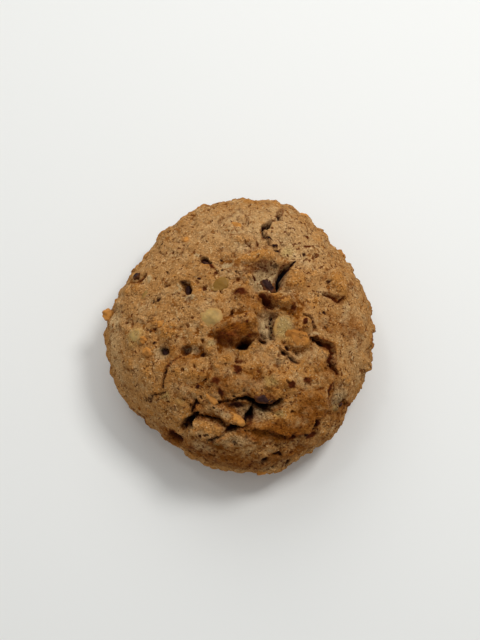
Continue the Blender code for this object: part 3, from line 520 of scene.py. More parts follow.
        Stain((18.0, 3.4), (0.45, 0.4), 0, 1.0),
        Stain((6.0, -31.2), (1.2, 1.2), 0, 1.0),
        Stain((5.4, -32.8), (0.9, 1.2), 0, 0.8),
        Stain((1.7, -24.8), (0.8, 0.5), 20, 0.6),
        Stain((9.0, -29.5), (1.0, 0.8), 0, 1.0),
        Stain((-1.7, -26.4), (0.9, 0.5), -20, 0.6),
    ),
    # More dark specks than elsewhere
    "speckled": (
        Stain((15.5, 22.5), (8.0, 9.0), 0, 1.4),
        Stain((3.0, -31.5), (18.0, 7.0), 0, 0.8),
        Stain((-15.0, 19.0), (12.0, 9.0), 0, 0.5),
        Stain((24.5, -14.0), (6.0, 10.0), 0, 0.7),
    ),
}

# High and low places are told against the crust evened out over this many rounds
EVENING_ROUNDS = 80
RAISED_SPAN = 1.2  # mm from the lowest to the highest that is told apart

# The crust lies level with the ginger over a seat this much larger, by this share of the way
SEAT_MARGIN = 1.1
SEAT_SHARE = 0.85

CUBE_FLOOR = -0.7  # the cube that is blown up reaches from -1 to 1, and is open below this height

# The back can't be seen, so its crags follow the same kinds and sizes by a seeded draw
BACK_SEED = 11
BACK_BEARINGS = (28, 152)  # degrees from +X, round by the back
BACK_HEIGHTS = (3.5, 11.0)
BACK_MOUNDS = 9
BACK_CRACKS = 5
BACK_CHUNKS = 7

# Where the crust is smoother: the height is the share of its bumps that goes
CALM = {
    "north-west": Mound((-16.0, 15.0), (15.0, 13.0), 0, -0.35, 0.0),
    "south-west": Mound((-22.0, -13.0), (11.0, 13.0), 0, -0.7, 0.0),
    "east": Mound((27.0, 4.0), (8.0, 15.0), 0, -0.75, 0.0),
    "north-east": Mound((21.0, 20.0), (10.0, 8.0), -40, -0.3, 0.0),
    "east middle": Mound((18.0, 9.0), (7.0, 7.0), 0, -0.3, 0.0),
    "south-east": Mound((17.0, -17.0), (7.0, 7.0), 0, -0.35, 0.0),
    "west rim": Mound((-31.0, -3.0), (5.0, 14.0), 0, -0.45, 0.0),
    "south wall": Mound((3.0, -31.5), (15.0, 5.0), 0, -0.25, 0.0),
}
# Bumps all over the crust: (size of a bump, its height, a shift so that each is its own)
BUMPS = ((11.0, 1.4, 3.7), (5.0, 1.2, 19.1), (2.6, 0.78, 31.3))
BUMP_BASE = 0.18  # of a bump's height, which lies under the dome's surface
FINE_BUMPS = ((1.4, 0.42, 47.2), (0.6, 0.32, 61.8))
CRUMB_BUMPS = ((1.0, 1.1, 71.4),)  # only where the pale crumb is open
CREASE_DEPTH = 0.2  # mm
CREASE_WIDTH = 0.07  # of the bumps' own noise, whose creases are at 0
CREASE_RUN = 3.5  # mm, the length that a wrinkle runs before it fades
CREASE_SHIFT = 83.6
# How far the edges of mounds and cracks wander: (size of a wander, how far)
WANDERS = ((4.0, 0.5), (1.8, 0.35))
FINE_WANDERS = ((0.8, 0.25), (0.45, 0.15))
WANDER_SHIFTS = (5.3, 27.1, 43.9)  # one for each axis, so that they wander apart

STREWN_SEED = 5
LUMPS = Strewn(90, (1.1, 2.4), (0.3, 0.75), 0.6, ("golden", None, None))
FLAKES = Strewn(260, (0.4, 1.2), (0.12, 0.42), 0.4, ("golden", "browned", None, None, None))
# Pits are painted dark or toasted inside, as shade in them
PITS = Strewn(260, (0.22, 0.75), (-0.8, -0.3), 0.35, ("dark", "toasted", "toasted"))

# The pieces are chopped: a flat face is up to this much further from the middle than the nearest
CHOP_SEED = 4
CHOP_SPAN = 0.3

FINE_GRAIN = 1.4  # the finer grain's scale over the coarser grain's
# Dark grains are redder and light ones paler: the powers of each channel's level
GRAIN_TINTS = (("Red", 0.85), ("Green", 1.0), ("Blue", 1.25))
# Ginger and fruit are uneven: the shade of the darker ginger, and the lift of the lighter fruit
GINGER_SHADE = 0.68
FRUIT_LIFT = 1.7

# Each light's setting in the panel, its name, where it stands in metres and how wide it is
LIGHTS = (
    ("key", "main light", (0.21, 0.165, 0.45), 0.14),
    ("second", "second light", (-0.18, 0.17, 0.57), 0.07),
    ("window", "window", (-0.08, 0.50, 0.42), 0.5),
    ("side", "side window", (-0.45, 0.12, 0.35), 0.5),
)


def colour_setting(name, about, start):
    """A colour that the panel lets the maker change."""
    return FloatVectorProperty(name=name, description=about, subtype="COLOR", default=start, min=0, max=1)


class BISCUIT_PG_dough(bpy.types.PropertyGroup):
    """The sizes of the dough."""

    width: FloatProperty(
        name="Width", description="Left to right, before the bulges", default=0.0658, min=0.02,
        unit="LENGTH",
    )
    depth: FloatProperty(
        name="Depth", description="Front to back, before the bulges", default=0.0692, min=0.02,
        unit="LENGTH",
    )
    height: FloatProperty(
        name="Height", description="From the underside to the top, before the crags", default=0.0298,
        min=0.01, unit="LENGTH",
    )
    belly_height: FloatProperty(
        name="Belly height", description="Where the biscuit is widest", default=0.009, min=0.001,
        unit="LENGTH",
    )
    underside_share: FloatProperty(
        name="Underside", description="The flat underside's radius over the belly's", default=0.87,
        min=0.3, max=0.98, subtype="FACTOR",
    )
    power: FloatProperty(
        name="Dome power", description="2 is an ellipsoid, more is squarer in profile", default=2.25,
        min=1.5, max=4,
    )
    cuts: IntProperty(
        name="Squares along half an edge", description="How finely the cube is cut", default=75,
        min=8, max=80,
    )


class BISCUIT_PG_colours(bpy.types.PropertyGroup):
    """The colours of the crust and of the pieces in it."""

    tan: colour_setting("Crust", "Most of the crust", (0.448, 0.215, 0.065))
    # Flour is also painted light, on the top and the left rim
    floury: colour_setting("Flour", "Pale grains on the crust", (0.67, 0.45, 0.212))
    golden: colour_setting("Golden", "High places and nut", (0.468, 0.198, 0.044))
    # Browned is also painted shade, in low places and on the front wall
    browned: colour_setting("Browned", "Well baked places", (0.245, 0.075, 0.008))
    toasted: colour_setting("Toasted", "The brownest places", (0.115, 0.021, 0.003))
    crumb: colour_setting("Crumb", "Pale places inside cracks", (0.52, 0.34, 0.155))
    # Dark is also painted shade, at the bottoms of cracks and holes
    dark: colour_setting("Dark", "Fruit juice and deep cracks", (0.033, 0.008, 0.004))
    # Black is painted shade, at the bottoms of the deepest cracks and holes
    black: colour_setting("Black", "The bottoms of the deepest cracks", (0.008, 0.008, 0.011))
    ginger: colour_setting("Ginger", "Candied ginger", (0.46, 0.295, 0.095))
    olive: colour_setting("Olive ginger", "The deepest ginger", (0.23, 0.115, 0.018))
    nut: colour_setting("Nut", "Toasted nut", (0.53, 0.222, 0.040))
    fruit: colour_setting("Fruit", "Dried fruit", (0.030, 0.012, 0.010))


class BISCUIT_PG_stage(bpy.types.PropertyGroup):
    """The floor and the light."""

    floor: colour_setting("Floor", "The surface below", (0.81, 0.815, 0.79))
    key: FloatProperty(
        name="Main light", description="From behind on the right", default=1.24, min=0, unit="POWER"
    )
    second: FloatProperty(
        name="Second light", description="From behind on the left", default=0.16, min=0, unit="POWER"
    )
    window: FloatProperty(
        name="Window", description="A broad light from behind", default=1.3, min=0, unit="POWER"
    )
    side: FloatProperty(
        name="Side window", description="A broad light from the left", default=0.22, min=0, unit="POWER"
    )
    sky: FloatProperty(name="Sky", description="The even light from all round", default=0.39, min=0)


def smooth(share):
    """Runs from 0 to 1 with level ends."""
    share = np.clip(share, 0, 1)
    return share * share * (3 - 2 * share)


class Dough:
    """The smooth dome that the crags are worked into, in mm."""

    def __init__(self, width, depth, height, belly_height, underside_share, power):
        self.half_width = width / MM / 2
        self.half_depth = depth / MM / 2
        self.height = height / MM
        self.belly = belly_height / MM
        # The lower half would be this deep if it weren't cut level at the underside
        self.bowl = self.belly / math.sqrt(1 - underside_share**2)
        self.power = power
        self.middle = np.array((0.0, 0.0, self.belly))
        self.outside = 2 * self.half_depth  # a ray from the middle is out of the dough by here

    def plan_radius(self, bearing):
        """The belly's radius at bearings in radians: an ellipse with the plan's bulges added."""
        around = np.hypot(self.half_depth * np.cos(bearing), self.half_width * np.sin(bearing))
        radius = self.half_width * self.half_depth / around
        for middle, spread, outwards in PLAN_BULGES:
            off = (np.degrees(bearing) - middle + 180) % 360 - 180
            radius = radius + outwards * np.exp(-((off / spread) ** 2))
        return radius

    def beyond(self, points):
        """Under 0 inside the dome, 0 on its surface and over 0 outside it."""
        bearing = np.arctan2(points[:, 1], points[:, 0])
        across = np.hypot(points[:, 0], points[:, 1]) / self.plan_radius(bearing)
        rise = points[:, 2] - self.belly
        above = (np.maximum(rise, 0) / (self.height - self.belly)) ** self.power + across**self.power
        below = (np.minimum(rise, 0) / self.bowl) ** 2 + across**2
        return np.where(rise > 0, above, below) - 1

    def where_ray_leaves(self, start, directions, outside):
        """The points where rays from inside cross the surface, found by halving the stretch."""
        near = np.zeros(len(directions))
        far = np.full(len(directions), float(outside))
        for _ in range(HALVINGS):
            middle = (near + far) / 2
            within = self.beyond(start + middle[:, None] * directions) < 0
            near = np.where(within, middle, near)
            far = np.where(within, far, middle)
        return start + near[:, None] * directions

    def outward(self, points):
        """Unit normals of the smooth dome, from the slope of beyond."""
        steps = 0.05 * np.eye(3)
        slope = np.stack([self.beyond(points + to) - self.beyond(points - to) for to in steps], axis=1)
        return slope / np.linalg.norm(slope, axis=1, keepdims=True)

    def seen_at(self, place):
        """The point of the dome that the eye finds at this many mm right and up."""
        target = EYE_AIM + place[0] * RIGHT + place[1] * UPWARDS
        sight = (target - EYE) / np.linalg.norm(target - EYE)
        # The ray is followed from its point nearest the dome's middle, back towards the eye
        start = EYE + np.dot(self.middle - EYE, sight) * sight
        if self.beyond(start[None])[0] >= 0:  # past the rim, so the nearest point of the rim is taken
            level = np.array((start[0], start[1], 0.0))
            return self.where_ray_leaves(self.middle, level[None] / np.linalg.norm(level), self.outside)[0]
        return self.where_ray_leaves(start, -sight[None], EYE_DISTANCE / 2)[0]

    def round_at(self, bearing, height):
        """The point of the dome's side at a bearing in degrees and a height."""
        turn = math.radians(bearing)
        direction = np.array([[math.cos(turn), math.sin(turn), 0.0]])
        return self.where_ray_leaves(np.array((0.0, 0.0, height)), direction, self.outside)[0]

    def axes_at(self, anchor, turn):
        """Two axes in the surface, turned by degrees from the right, and the one that points out."""
        out = self.outward(anchor[None])[0]
        right = RIGHT - np.dot(RIGHT, out) * out
        right = right / np.linalg.norm(right)
        up = np.cross(out, right)
        angle = math.radians(turn)
        along = math.cos(angle) * right + math.sin(angle) * up
        return along, np.cross(out, along), out

    def closeness(self, points, anchor, halves, turn, edge):
        """1 inside a patch of the surface and 0 outside it, over a wide or a narrow edge."""
        near = nearby(points, anchor[None], 1.5 * max(halves))
        along, across, out = self.axes_at(anchor, turn)
        offset = points[near] - anchor
        # It reaches in and out by its whole length, so that the dome's curve hardly shortens it
        away = np.sqrt(
            (offset @ along / halves[0]) ** 2
            + (offset @ across / halves[1]) ** 2
            + (offset @ out / (2 * halves[0])) ** 2
        )
        rim_width = 1 - 0.8 * edge
        patch = np.zeros(len(points))
        patch[near] = smooth((1 + 0.4 * rim_width - away) / (1.4 * rim_width))
        return patch

    def crack_relief(self, points, crack, anchors):
        """Which points a crack moves and how far, how many widths off they are, and its taper there."""
        near = nearby(points, anchors, max(crack.reach, 2 * crack.width))
        points = points[near]
        nearest = np.full(len(points), 1e9)
        gone = np.zeros(len(points))  # how far along the course the nearest place is
        side = np.zeros(len(points))
        course_length = 0.0
        for first, last in zip(anchors, anchors[1:]):
            run = last - first
            length = np.linalg.norm(run)
            offset = points - first
            share = np.clip(offset @ run / length**2, 0, 1)
            to_line = offset - share[:, None] * run
            distance = np.linalg.norm(to_line, axis=1)
            leftwards = np.cross(self.outward(((first + last) / 2)[None])[0], run / length)
            closer = distance < nearest
            nearest = np.where(closer, distance, nearest)
            gone = np.where(closer, course_length + share * length, gone)
            side = np.where(closer, to_line @ leftwards, side)
            course_length += length
        # Each end tapers off over a fifth of the course
        from_end = np.minimum(gone, course_length - gone) / (0.2 * course_length)
        taper = np.sqrt(np.clip(from_end, 0.02, 1))
        widths = nearest / (crack.width * (0.4 + 0.6 * taper))
        # The bottom runs level for 0.3 widths to each side, and its wall is over by 0.65
        groove = 1 - smooth((widths - 0.3) / 0.35)
        lifted = smooth(0.5 + side / crack.width) * (1 - smooth(nearest / crack.reach))
        return near, taper * (crack.rise * lifted - crack.depth * groove), widths, taper


def nearby(points, anchors, margin):
    """The numbers of the points inside the box around the anchors, widened by a margin."""
    lowest = np.min(anchors, axis=0) - margin
    highest = np.max(anchors, axis=0) + margin
    inside = np.ones(len(points), dtype=bool)
    for axis in range(3):
        inside &= (points[:, axis] > lowest[axis]) & (points[:, axis] < highest[axis])
    return np.flatnonzero(inside)


def noise_at(points, size, shift):
    """A soft random value about 0 at each point, whose swings are of this size."""
    return np.array([noise.noise(place) for place in (points / size + shift).tolist()])


def bump_relief(points, bumps):
    """Rounded bumps with creases between them, of several sizes."""
    relief = np.zeros(len(points))
    for size, height, shift in bumps:
        relief += height * (np.abs(noise_at(points, size, shift)) - BUMP_BASE)
    return relief


def crease_lines(points):
    """How near each point is to the bottom of a crease between the larger bumps, 0 to 1."""
    lines = np.zeros(len(points))
    for size, _, shift in BUMPS[1:]:
        depth = np.abs(noise_at(points, size, shift))
        lines = np.maximum(lines, 1 - smooth(depth / CREASE_WIDTH))
    kept = noise_at(points, CREASE_RUN, CREASE_SHIFT)
    return lines * smooth((kept - 0.05) / 0.3)


def wander(points, wanders):
    """The points, each moved a little, so that what is measured from them has ragged edges."""
    moved = points.copy()
    for size, far in wanders:
        for axis, shift in enumerate(WANDER_SHIFTS):
            moved[:, axis] += far * noise_at(points, size, shift)
    return moved


class Crags:
    """Everything that is worked into the dome, each with the point of the dome where it is."""

    def __init__(self, dough):
        self.dough = dough
        self.mounds = [(mound, dough.seen_at(mound.place)) for mound in (*MOUNDS.values(), *HOLES.values())]
        self.cracks = [(crack, [dough.seen_at(step) for step in crack.course]) for crack in CRACKS.values()]
        self.calm = [(mound, dough.seen_at(mound.place)) for mound in CALM.values()]
        self.back_chunks = []
        self.add_back()

    def add_back(self):
        """Mounds, cracks and pieces for the side that is turned away from the eye."""
        draw = random.Random(BACK_SEED)

        def somewhere():
            return draw.uniform(*BACK_BEARINGS), draw.uniform(*BACK_HEIGHTS)

        for _ in range(BACK_MOUNDS):
            halves = (draw.uniform(2.5, 5.5), draw.uniform(2.0, 3.5))
            mound = Mound(None, halves, draw.uniform(-40, 40), draw.uniform(0.6, 1.4), draw.uniform(0.1, 0.5))
            self.mounds.append((mound, self.dough.round_at(*somewhere())))
        for _ in range(BACK_CRACKS):
            bearing, height = somewhere()
            course = [(bearing, height)]
            for _ in range(3):
                bearing += draw.uniform(4, 9)
                height = max(2.5, height + draw.uniform(-3.5, 3.5))
                course.append((bearing, height))
            crack = Crack(None, 1.2, draw.uniform(1.2, 2.2), draw.uniform(0.2, 1.0), 3.5)
            self.cracks.append((crack, [self.dough.round_at(*step) for step in course]))
        for _ in range(BACK_CHUNKS):
            halves = sorted((draw.uniform(1.1, 2.2) for _ in range(3)), reverse=True)
            chunk = Chunk(None, tuple(halves), draw.uniform(-60, 60), 0.5)
            self.back_chunks.append((chunk, self.dough.round_at(*somewhere())))

    def roughness(self, points):
        """The share of the bumps that each point has."""
        kept = np.ones(len(points))
        for mound, anchor in self.calm:
            kept += self.swell(points, mound, anchor)
        return kept

    def swell(self, points, mound, anchor):
        """How far a mound or a hollow moves each point."""
        return mound.height * self.dough.closeness(points, anchor, mound.halves, mound.turn, mound.edge)

    def relief(self, ragged):
        """How far crags and the larger bumps move wandered points outwards, and the cracks' colours, mostly
        painted shade.
        """
        relief = self.roughness(ragged) * bump_relief(ragged, BUMPS)
        tints = {kind: np.zeros(len(ragged)) for kind in ("dark", "toasted")}
        for mound, anchor in self.mounds:
            relief += self.swell(ragged, mound, anchor)
        for crack, anchors in self.cracks:
            near, moved, widths, taper = self.dough.crack_relief(ragged, crack, anchors)
            relief[near] += moved
            if crack.depth > 0:  # painted with shade at the bottom and a little toasted at its lips
                depth = taper * min(1, 0.4 + crack.depth / 3) * (1 - smooth((widths - 0.2) / 0.45))
                lip = taper * smooth((widths - 0.3) / 0.4) * (1 - smooth((widths - 0.7) / 0.8))
                tints[crack.inside][near] = np.maximum(tints[crack.inside][near], depth)
                tints["toasted"][near] = np.maximum(tints["toasted"][near], 0.6 * lip)
        return relief, tints


@lru_cache
def crags_on(*sizes):
    """The crags on a dome of these sizes, laid out once and shared by the operators."""
    return Crags(Dough(*sizes))


def crags_of(context):
    """The crags on the scene's dough."""
    sizes = context.scene.biscuit_dough
    return crags_on(
        sizes.width, sizes.depth, sizes.height, sizes.belly_height, sizes.underside_share, sizes.power
    )


def deselect_all():
    """Leaves nothing selected, so that an operator acts on the new piece alone."""
    if bpy.context.mode != "OBJECT":
        bpy.ops.object.mode_set(mode="OBJECT")
    bpy.ops.object.select_all(action="DESELECT")


def vertex_places(mesh):
    """The mesh's vertices as an array."""
    places = np.empty(len(mesh.vertices) * 3)
    mesh.vertices.foreach_get("co", places)
    return places.reshape(-1, 3)


def set_vertex_places(mesh, places):
    """Puts the mesh's vertices at the places of an array."""
    mesh.vertices.foreach_set("co", np.ascontiguousarray(places, dtype=np.float32).ravel())
    mesh.update()


def evened(mesh, amounts, rounds):
    """Amounts shared out between neighbouring vertices, over and over."""
    ends = np.empty(len(mesh.edges) * 2, dtype=np.int64)
    mesh.edges.foreach_get("vertices", ends)
    first, last = ends.reshape(-1, 2).T
    neighbours = np.bincount(ends, minlength=len(amounts))
    for _ in range(rounds):
        near = np.bincount(first, amounts[last], len(amounts))
        near += np.bincount(last, amounts[first], len(amounts))
        amounts = (amounts + near / neighbours) / 2
    return amounts


def paint(mesh, name, amounts):
    """Keeps an amount for each vertex in the mesh, under a name that the material reads."""
    layer = mesh.attributes.new(name, "FLOAT", "POINT")
    layer.data.foreach_set("value", np.clip(amounts, 0, 1).astype(np.float32))


def blown_cube(cuts):
    """Adds a cube, cuts it into squares and returns it with each vertex's direction from its middle.

    It is open below, where the dough is cut level later on.
    """
    deselect_all()
    bpy.ops.mesh.primitive_cube_add(size=2, location=(0, 0, 0))
    piece = bpy.context.object
    bpy.ops.object.mode_set(mode="EDIT")
    bpy.ops.mesh.select_all(action="SELECT")
    bpy.ops.mesh.subdivide(number_cuts=cuts - 1)
    bpy.ops.mesh.subdivide(number_cuts=1)
    bpy.ops.mesh.select_all(action="SELECT")
    bpy.ops.mesh.bisect(plane_co=(0, 0, CUBE_FLOOR), plane_no=(0, 0, 1), clear_inner=True)
    bpy.ops.object.mode_set(mode="OBJECT")
    # The tangent spaces the squares evenly once they are on a ball
    corners = np.tan(vertex_places(piece.data) * math.pi / 4)
    return piece, corners / np.linalg.norm(corners, axis=1, keepdims=True)


def stained(dough, points):
    """How much of each kind of stain every point has."""
    amounts = {}
    for kind, stains in STAINS.items():
        amounts[kind] = np.zeros(len(points))
        for stain in stains:
            anchor = dough.seen_at(stain.place)
            patch = dough.closeness(points, anchor, stain.halves, stain.turn, edge=0.3)
            amounts[kind] = np.maximum(amounts[kind], stain.strength * patch)
    return amounts


def strew(dough, points, amounts):
    """The relief of lumps, flakes and pits all over the dome, which also add to the stains' amounts, the pits
    as painted shade.
    """
    draw = random.Random(STREWN_SEED)
    relief = np.zeros(len(points))
    for number, halves, heights, narrowest, tints in (LUMPS, FLAKES, PITS):
        directions = np.array([[draw.gauss(0, 1) for _ in range(3)] for _ in range(number)])
        directions[:, 2] = np.abs(directions[:, 2]) - 0.3  # most point up, and some a little down
        directions /= np.linalg.norm(directions, axis=1, keepdims=True)
        for anchor in dough.where_ray_leaves(dough.middle, directions, dough.outside):
            size = draw.uniform(*halves)
            spread = (size, size * draw.uniform(narrowest, 1))
            patch = dough.closeness(points, anchor, spread, draw.uniform(0, 180), edge=0.6)
            relief += draw.uniform(*heights) * patch
            tint = draw.choice(tints)
            if tint:
                amounts[tint] = np.maximum(amounts[tint], patch * draw.uniform(0.4, 1))
    return relief


def add_seats(crags, points, relief):
    """Brings the crust's relief level with the ginger that lies in it."""
    anchors = np.array([crags.dough.seen_at(chunk.place) for chunk in GINGER.values()])
    levels = crags.relief(wander(anchors, WANDERS))[0]
    for chunk, anchor, level in zip(GINGER.values(), anchors, levels):
        halves = [SEAT_MARGIN * half for half in chunk.halves]
        seat = crags.dough.closeness(points, anchor, halves, chunk.turn, edge=0.4)
        relief += SEAT_SHARE * seat * (level - relief)


class BISCUIT_OT_add_crust(bpy.types.Operator):
    """Add the dough: a cube blown up into the dome, with every crag worked in and cut level below."""

    bl_idname = "biscuit.add_crust"
    bl_label = "Add the crust"
    bl_options = {"REGISTER", "UNDO"}

    def execute(self, context):
        sizes = context.scene.biscuit_dough
        crags = crags_of(context)
        dough = crags.dough
        piece, directions = blown_cube(sizes.cuts)
        points = dough.where_ray_leaves(dough.middle, directions, dough.outside)
        ragged = wander(points, WANDERS + FINE_WANDERS)
        roughness = crags.roughness(ragged)
        creases = crease_lines(ragged)
        relief, tints = crags.relief(ragged)
        amounts = stained(dough, ragged)
        relief += roughness * strew(dough, ragged, amounts)
        add_seats(crags, ragged, relief)
        relief -= CREASE_DEPTH * creases
        relief += roughness * bump_relief(ragged, FINE_BUMPS)
        open_crumb = np.maximum(amounts["crumb"], 0.7 * amounts["toasted"])
        relief += open_crumb * bump_relief(points, CRUMB_BUMPS)
        # The cracks' painted shade is added to the stains
        for kind, tint in tints.items():
            amounts[kind] = np.maximum(amounts[kind], tint)
        set_vertex_places(piece.data, (points + relief[:, None] * dough.outward(points)) * MM)
        for kind, amount in amounts.items():
            paint(piece.data, kind, amount)
        stands_out = relief - evened(piece.data, relief, EVENING_ROUNDS)
        paint(piece.data, "raised", 0.5 + stands_out / RAISED_SPAN)
        paint(piece.data, "crease", creases)
        self.cut_level()
        piece.name = "biscuit_crust"
        piece.data.materials.append(crust_material(context.scene.biscuit_colours))
        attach(piece, "root")
        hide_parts("biscuit")
        return {"FINISHED"}

    def cut_level(self):
        """Cuts the selected dome level at the underside and fills the cut."""
        bpy.ops.object.mode_set(mode="EDIT")
        bpy.ops.mesh.select_all(action="SELECT")
        bpy.ops.mesh.bisect(plane_co=(0, 0, 0), plane_no=(0, 0, 1), use_fill=True, clear_inner=True)
        bpy.ops.object.mode_set(mode="OBJECT")
        bpy.ops.object.shade_smooth_by_angle(angle=math.radians(70))


def surface_of(crags, anchors):
    """The crust's points over anchors on the smooth dome."""
    anchors = np.array(anchors)
    relief = crags.relief(wander(anchors, WANDERS))[0]
    return anchors + relief[:, None] * crags.dough.outward(anchors)


def chopped(places, draw, faces, nearest):
    """A unit lump with this many flat faces chopped off it, none nearer to its middle than nearest."""
    for _ in range(faces):
        face = np.array([draw.gauss(0, 1) for _ in range(3)])
        face /= np.linalg.norm(face)
        beyond = np.maximum(places @ face - draw.uniform(nearest, nearest + CHOP_SPAN), 0)
        places = places - beyond[:, None] * face
    return places


def seen_chunks(crags, chunks):
    """Each chunk with the point of the dome where the eye finds it."""
    return [(chunk, crags.dough.seen_at(chunk.place)) for chunk in chunks.values()]


def add_pieces(name, crags, chunks, pattern, chops, roughness):
    """Copies a pattern piece to every chunk's place and joins the copies into one piece of that name.

    Each has flat faces of its own by chops: (how many, how near to its middle). All are bumpy by
    roughness: (the size of a bump, its height).
    """
    surfaces = surface_of(crags, [anchor for _, anchor in chunks])
    rough_size, rough_height = roughness
    draw = random.Random(CHOP_SEED)
    copies = []
    for number, ((chunk, anchor), surface) in enumerate(zip(chunks, surfaces)):
        copy = bpy.data.objects.new(f"{name}_{number}", pattern.data.copy())
        bpy.context.scene.collection.objects.link(copy)
        along, across, out = crags.dough.axes_at(anchor, chunk.turn)
        pattern_places = chopped(vertex_places(copy.data), draw, *chops)
        centre = surface - chunk.halves[2] * (2 * chunk.sunk - 1) * out
        places = centre + (pattern_places * chunk.halves) @ np.array((along, across, out))
        uneven = noise_at(places, rough_size, 0)
        push = (places - centre) / np.linalg.norm(places - centre, axis=1, keepdims=True)
        places += rough_height * uneven[:, None] * push
        places[:, 2] = np.maximum(places[:, 2], 0)
        set_vertex_places(copy.data, places * MM)
        paint(copy.data, "deep", np.full(len(places), chunk.deep))
        paint(copy.data, "rim", smooth((np.hypot(pattern_places[:, 0], pattern_places[:, 1]) - 0.45) / 0.6))
        copies.append(copy)
    bpy.data.objects.remove(pattern)
    deselect_all()
    for copy in copies:
        copy.select_set(True)
    bpy.context.view_layer.objects.active = copies[0]
    bpy.ops.object.join()
    piece = bpy.context.object
    piece.name = name
    bpy.ops.object.shade_smooth_by_angle(angle=math.radians(60))
    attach(piece, "root")
    return piece


def rounded_lump(detail, power):
    """A ball, one unit in radius, which a power over 2 blunts towards a cube."""
    deselect_all()
    bpy.ops.mesh.primitive_ico_sphere_add(subdivisions=detail, radius=1, location=(0, 0, 0))
    lump = bpy.context.object
    places = vertex_places(lump.data)
    away = (np.abs(places) ** power).sum(axis=1, keepdims=True) ** (1 / power)
    set_vertex_places(lump.data, places / away)
    return lump


class BISCUIT_OT_add_ginger(bpy.types.Operator):
    """Add the dice of candied ginger, sunk into the crust."""

    bl_idname = "biscuit.add_ginger"
    bl_label = "Add the ginger"
    bl_options = {"REGISTER", "UNDO"}

    def execute(self, context):
        crags = crags_of(context)
        chunks = seen_chunks(crags, GINGER) + crags.back_chunks[::2]
        lump = rounded_lump(detail=4, power=2.6)
        piece = add_pieces("ginger_pieces", crags, chunks, lump, chops=(6, 0.8), roughness=(0.9, 0.25))
        piece.data.materials.append(ginger_material(context.scene.biscuit_colours))
        return {"FINISHED"}


class BISCUIT_OT_add_nuts(bpy.types.Operator):
    """Add the toasted nuts that stand out of the crust."""

    bl_idname = "biscuit.add_nuts"
    bl_label = "Add the nuts"
    bl_options = {"REGISTER", "UNDO"}

    def execute(self, context):
        crags = crags_of(context)
        chunks = seen_chunks(crags, NUTS) + crags.back_chunks[1::2]
        lump = rounded_lump(detail=4, power=2.2)
        piece = add_pieces("nut_pieces", crags, chunks, lump, chops=(9, 0.55), roughness=(0.7, 0.3))
        piece.data.materials.append(nut_material(context.scene.biscuit_colours))
        return {"FINISHED"}


class BISCUIT_OT_add_fruit(bpy.types.Operator):
    """Add the dried fruit in the cracks."""

    bl_idname = "biscuit.add_fruit"
    bl_label = "Add the dried fruit"
    bl_options = {"REGISTER", "UNDO"}

    def execute(self, context):
        crags = crags_of(context)
        lump = rounded_lump(detail=4, power=2.0)
        piece = add_pieces(
            "fruit_pieces", crags, seen_chunks(crags, FRUIT), lump, chops=(2, 0.7), roughness=(0.7, 0.45)
        )
        piece.data.materials.append(fruit_material(context.scene.biscuit_colours))
        return {"FINISHED"}


def add_node(tree, kind, inputs=None, **settings):
    """Adds a node, with settings as its own values and inputs as its sockets' values or links."""
    made = tree.nodes.new(kind)
    for name, value in settings.items():
        setattr(made, name, value)
    for name, value in (inputs or {}).items():
        if isinstance(value, bpy.types.NodeSocket):
            tree.links.new(value, made.inputs[name])
        else:
            made.inputs[name].default_value = value
    return made


def mix_colours(tree, amount, first, second, blend="MIX"):
    """A colour between two, and how much of the second is in it."""
    made = add_node(tree, "ShaderNodeMix", data_type="RGBA", blend_type=blend)
    for number, value in ((0, amount), (6, first), (7, second)):
        if isinstance(value, bpy.types.NodeSocket):
            tree.links.new(value, made.inputs[number])
        elif number:
            made.inputs[number].default_value = (*value, 1)
        else:
            made.inputs[number].default_value = value
    return made.outputs[2]


def calculate(tree, operation, first, second=0.0, clamp=False):
    """The result of a sum."""
    made = add_node(tree, "ShaderNodeMath", operation=operation, use_clamp=clamp)
    for number, value in enumerate((first, second)):
        if isinstance(value, bpy.types.NodeSocket):
            tree.links.new(value, made.inputs[number])
        else:
            made.inputs[number].default_value = value
    return made.outputs[0]


def between(tree, value, lowest, highest, to_lowest=0.0, to_highest=1.0):
    """The value's range stretched to another, and held at its ends."""
    inputs = {
        "Value": value, "From Min": lowest, "From Max": highest, "To Min": to_lowest, "To Max": to_highest
    }
    return add_node(tree, "ShaderNodeMapRange", inputs).outputs["Result"]


def new_group(name, inputs, outputs):
    """A shader node group with these sockets, and its input and output nodes."""
    group = bpy.data.node_groups.new(name, "ShaderNodeTree")
    for label, kind, default in inputs:
        socket = group.interface.new_socket(label, in_out="INPUT", socket_type=kind)
        if default is not None:
            socket.default_value = default
    for label, kind in outputs:
        group.interface.new_socket(label, in_out="OUTPUT", socket_type=kind)
    return group, add_node(group, "NodeGroupInput"), add_node(group, "NodeGroupOutput")


def ragged_edge_group():
    """An amount turned into a share whose edges follow a grain."""
    if "Ragged edge" in bpy.data.node_groups:
        return bpy.data.node_groups["Ragged edge"]
    group, given, result = new_group(
        "Ragged edge",
        (
            ("Amount", "NodeSocketFloat", 0.5),
            ("Grain", "NodeSocketFloat", 0.5),
            ("Spread", "NodeSocketFloat", 1.3),
        ),
        (("Share", "NodeSocketFloat"),),
    )
    uneven = calculate(group, "SUBTRACT", given.outputs["Grain"], 0.5)
    shift = calculate(group, "MULTIPLY", uneven, given.outputs["Spread"])
    moved = calculate(group, "ADD", given.outputs["Amount"], shift)
    group.links.new(between(group, moved, 0.2, 0.75), result.inputs["Share"])
    return group


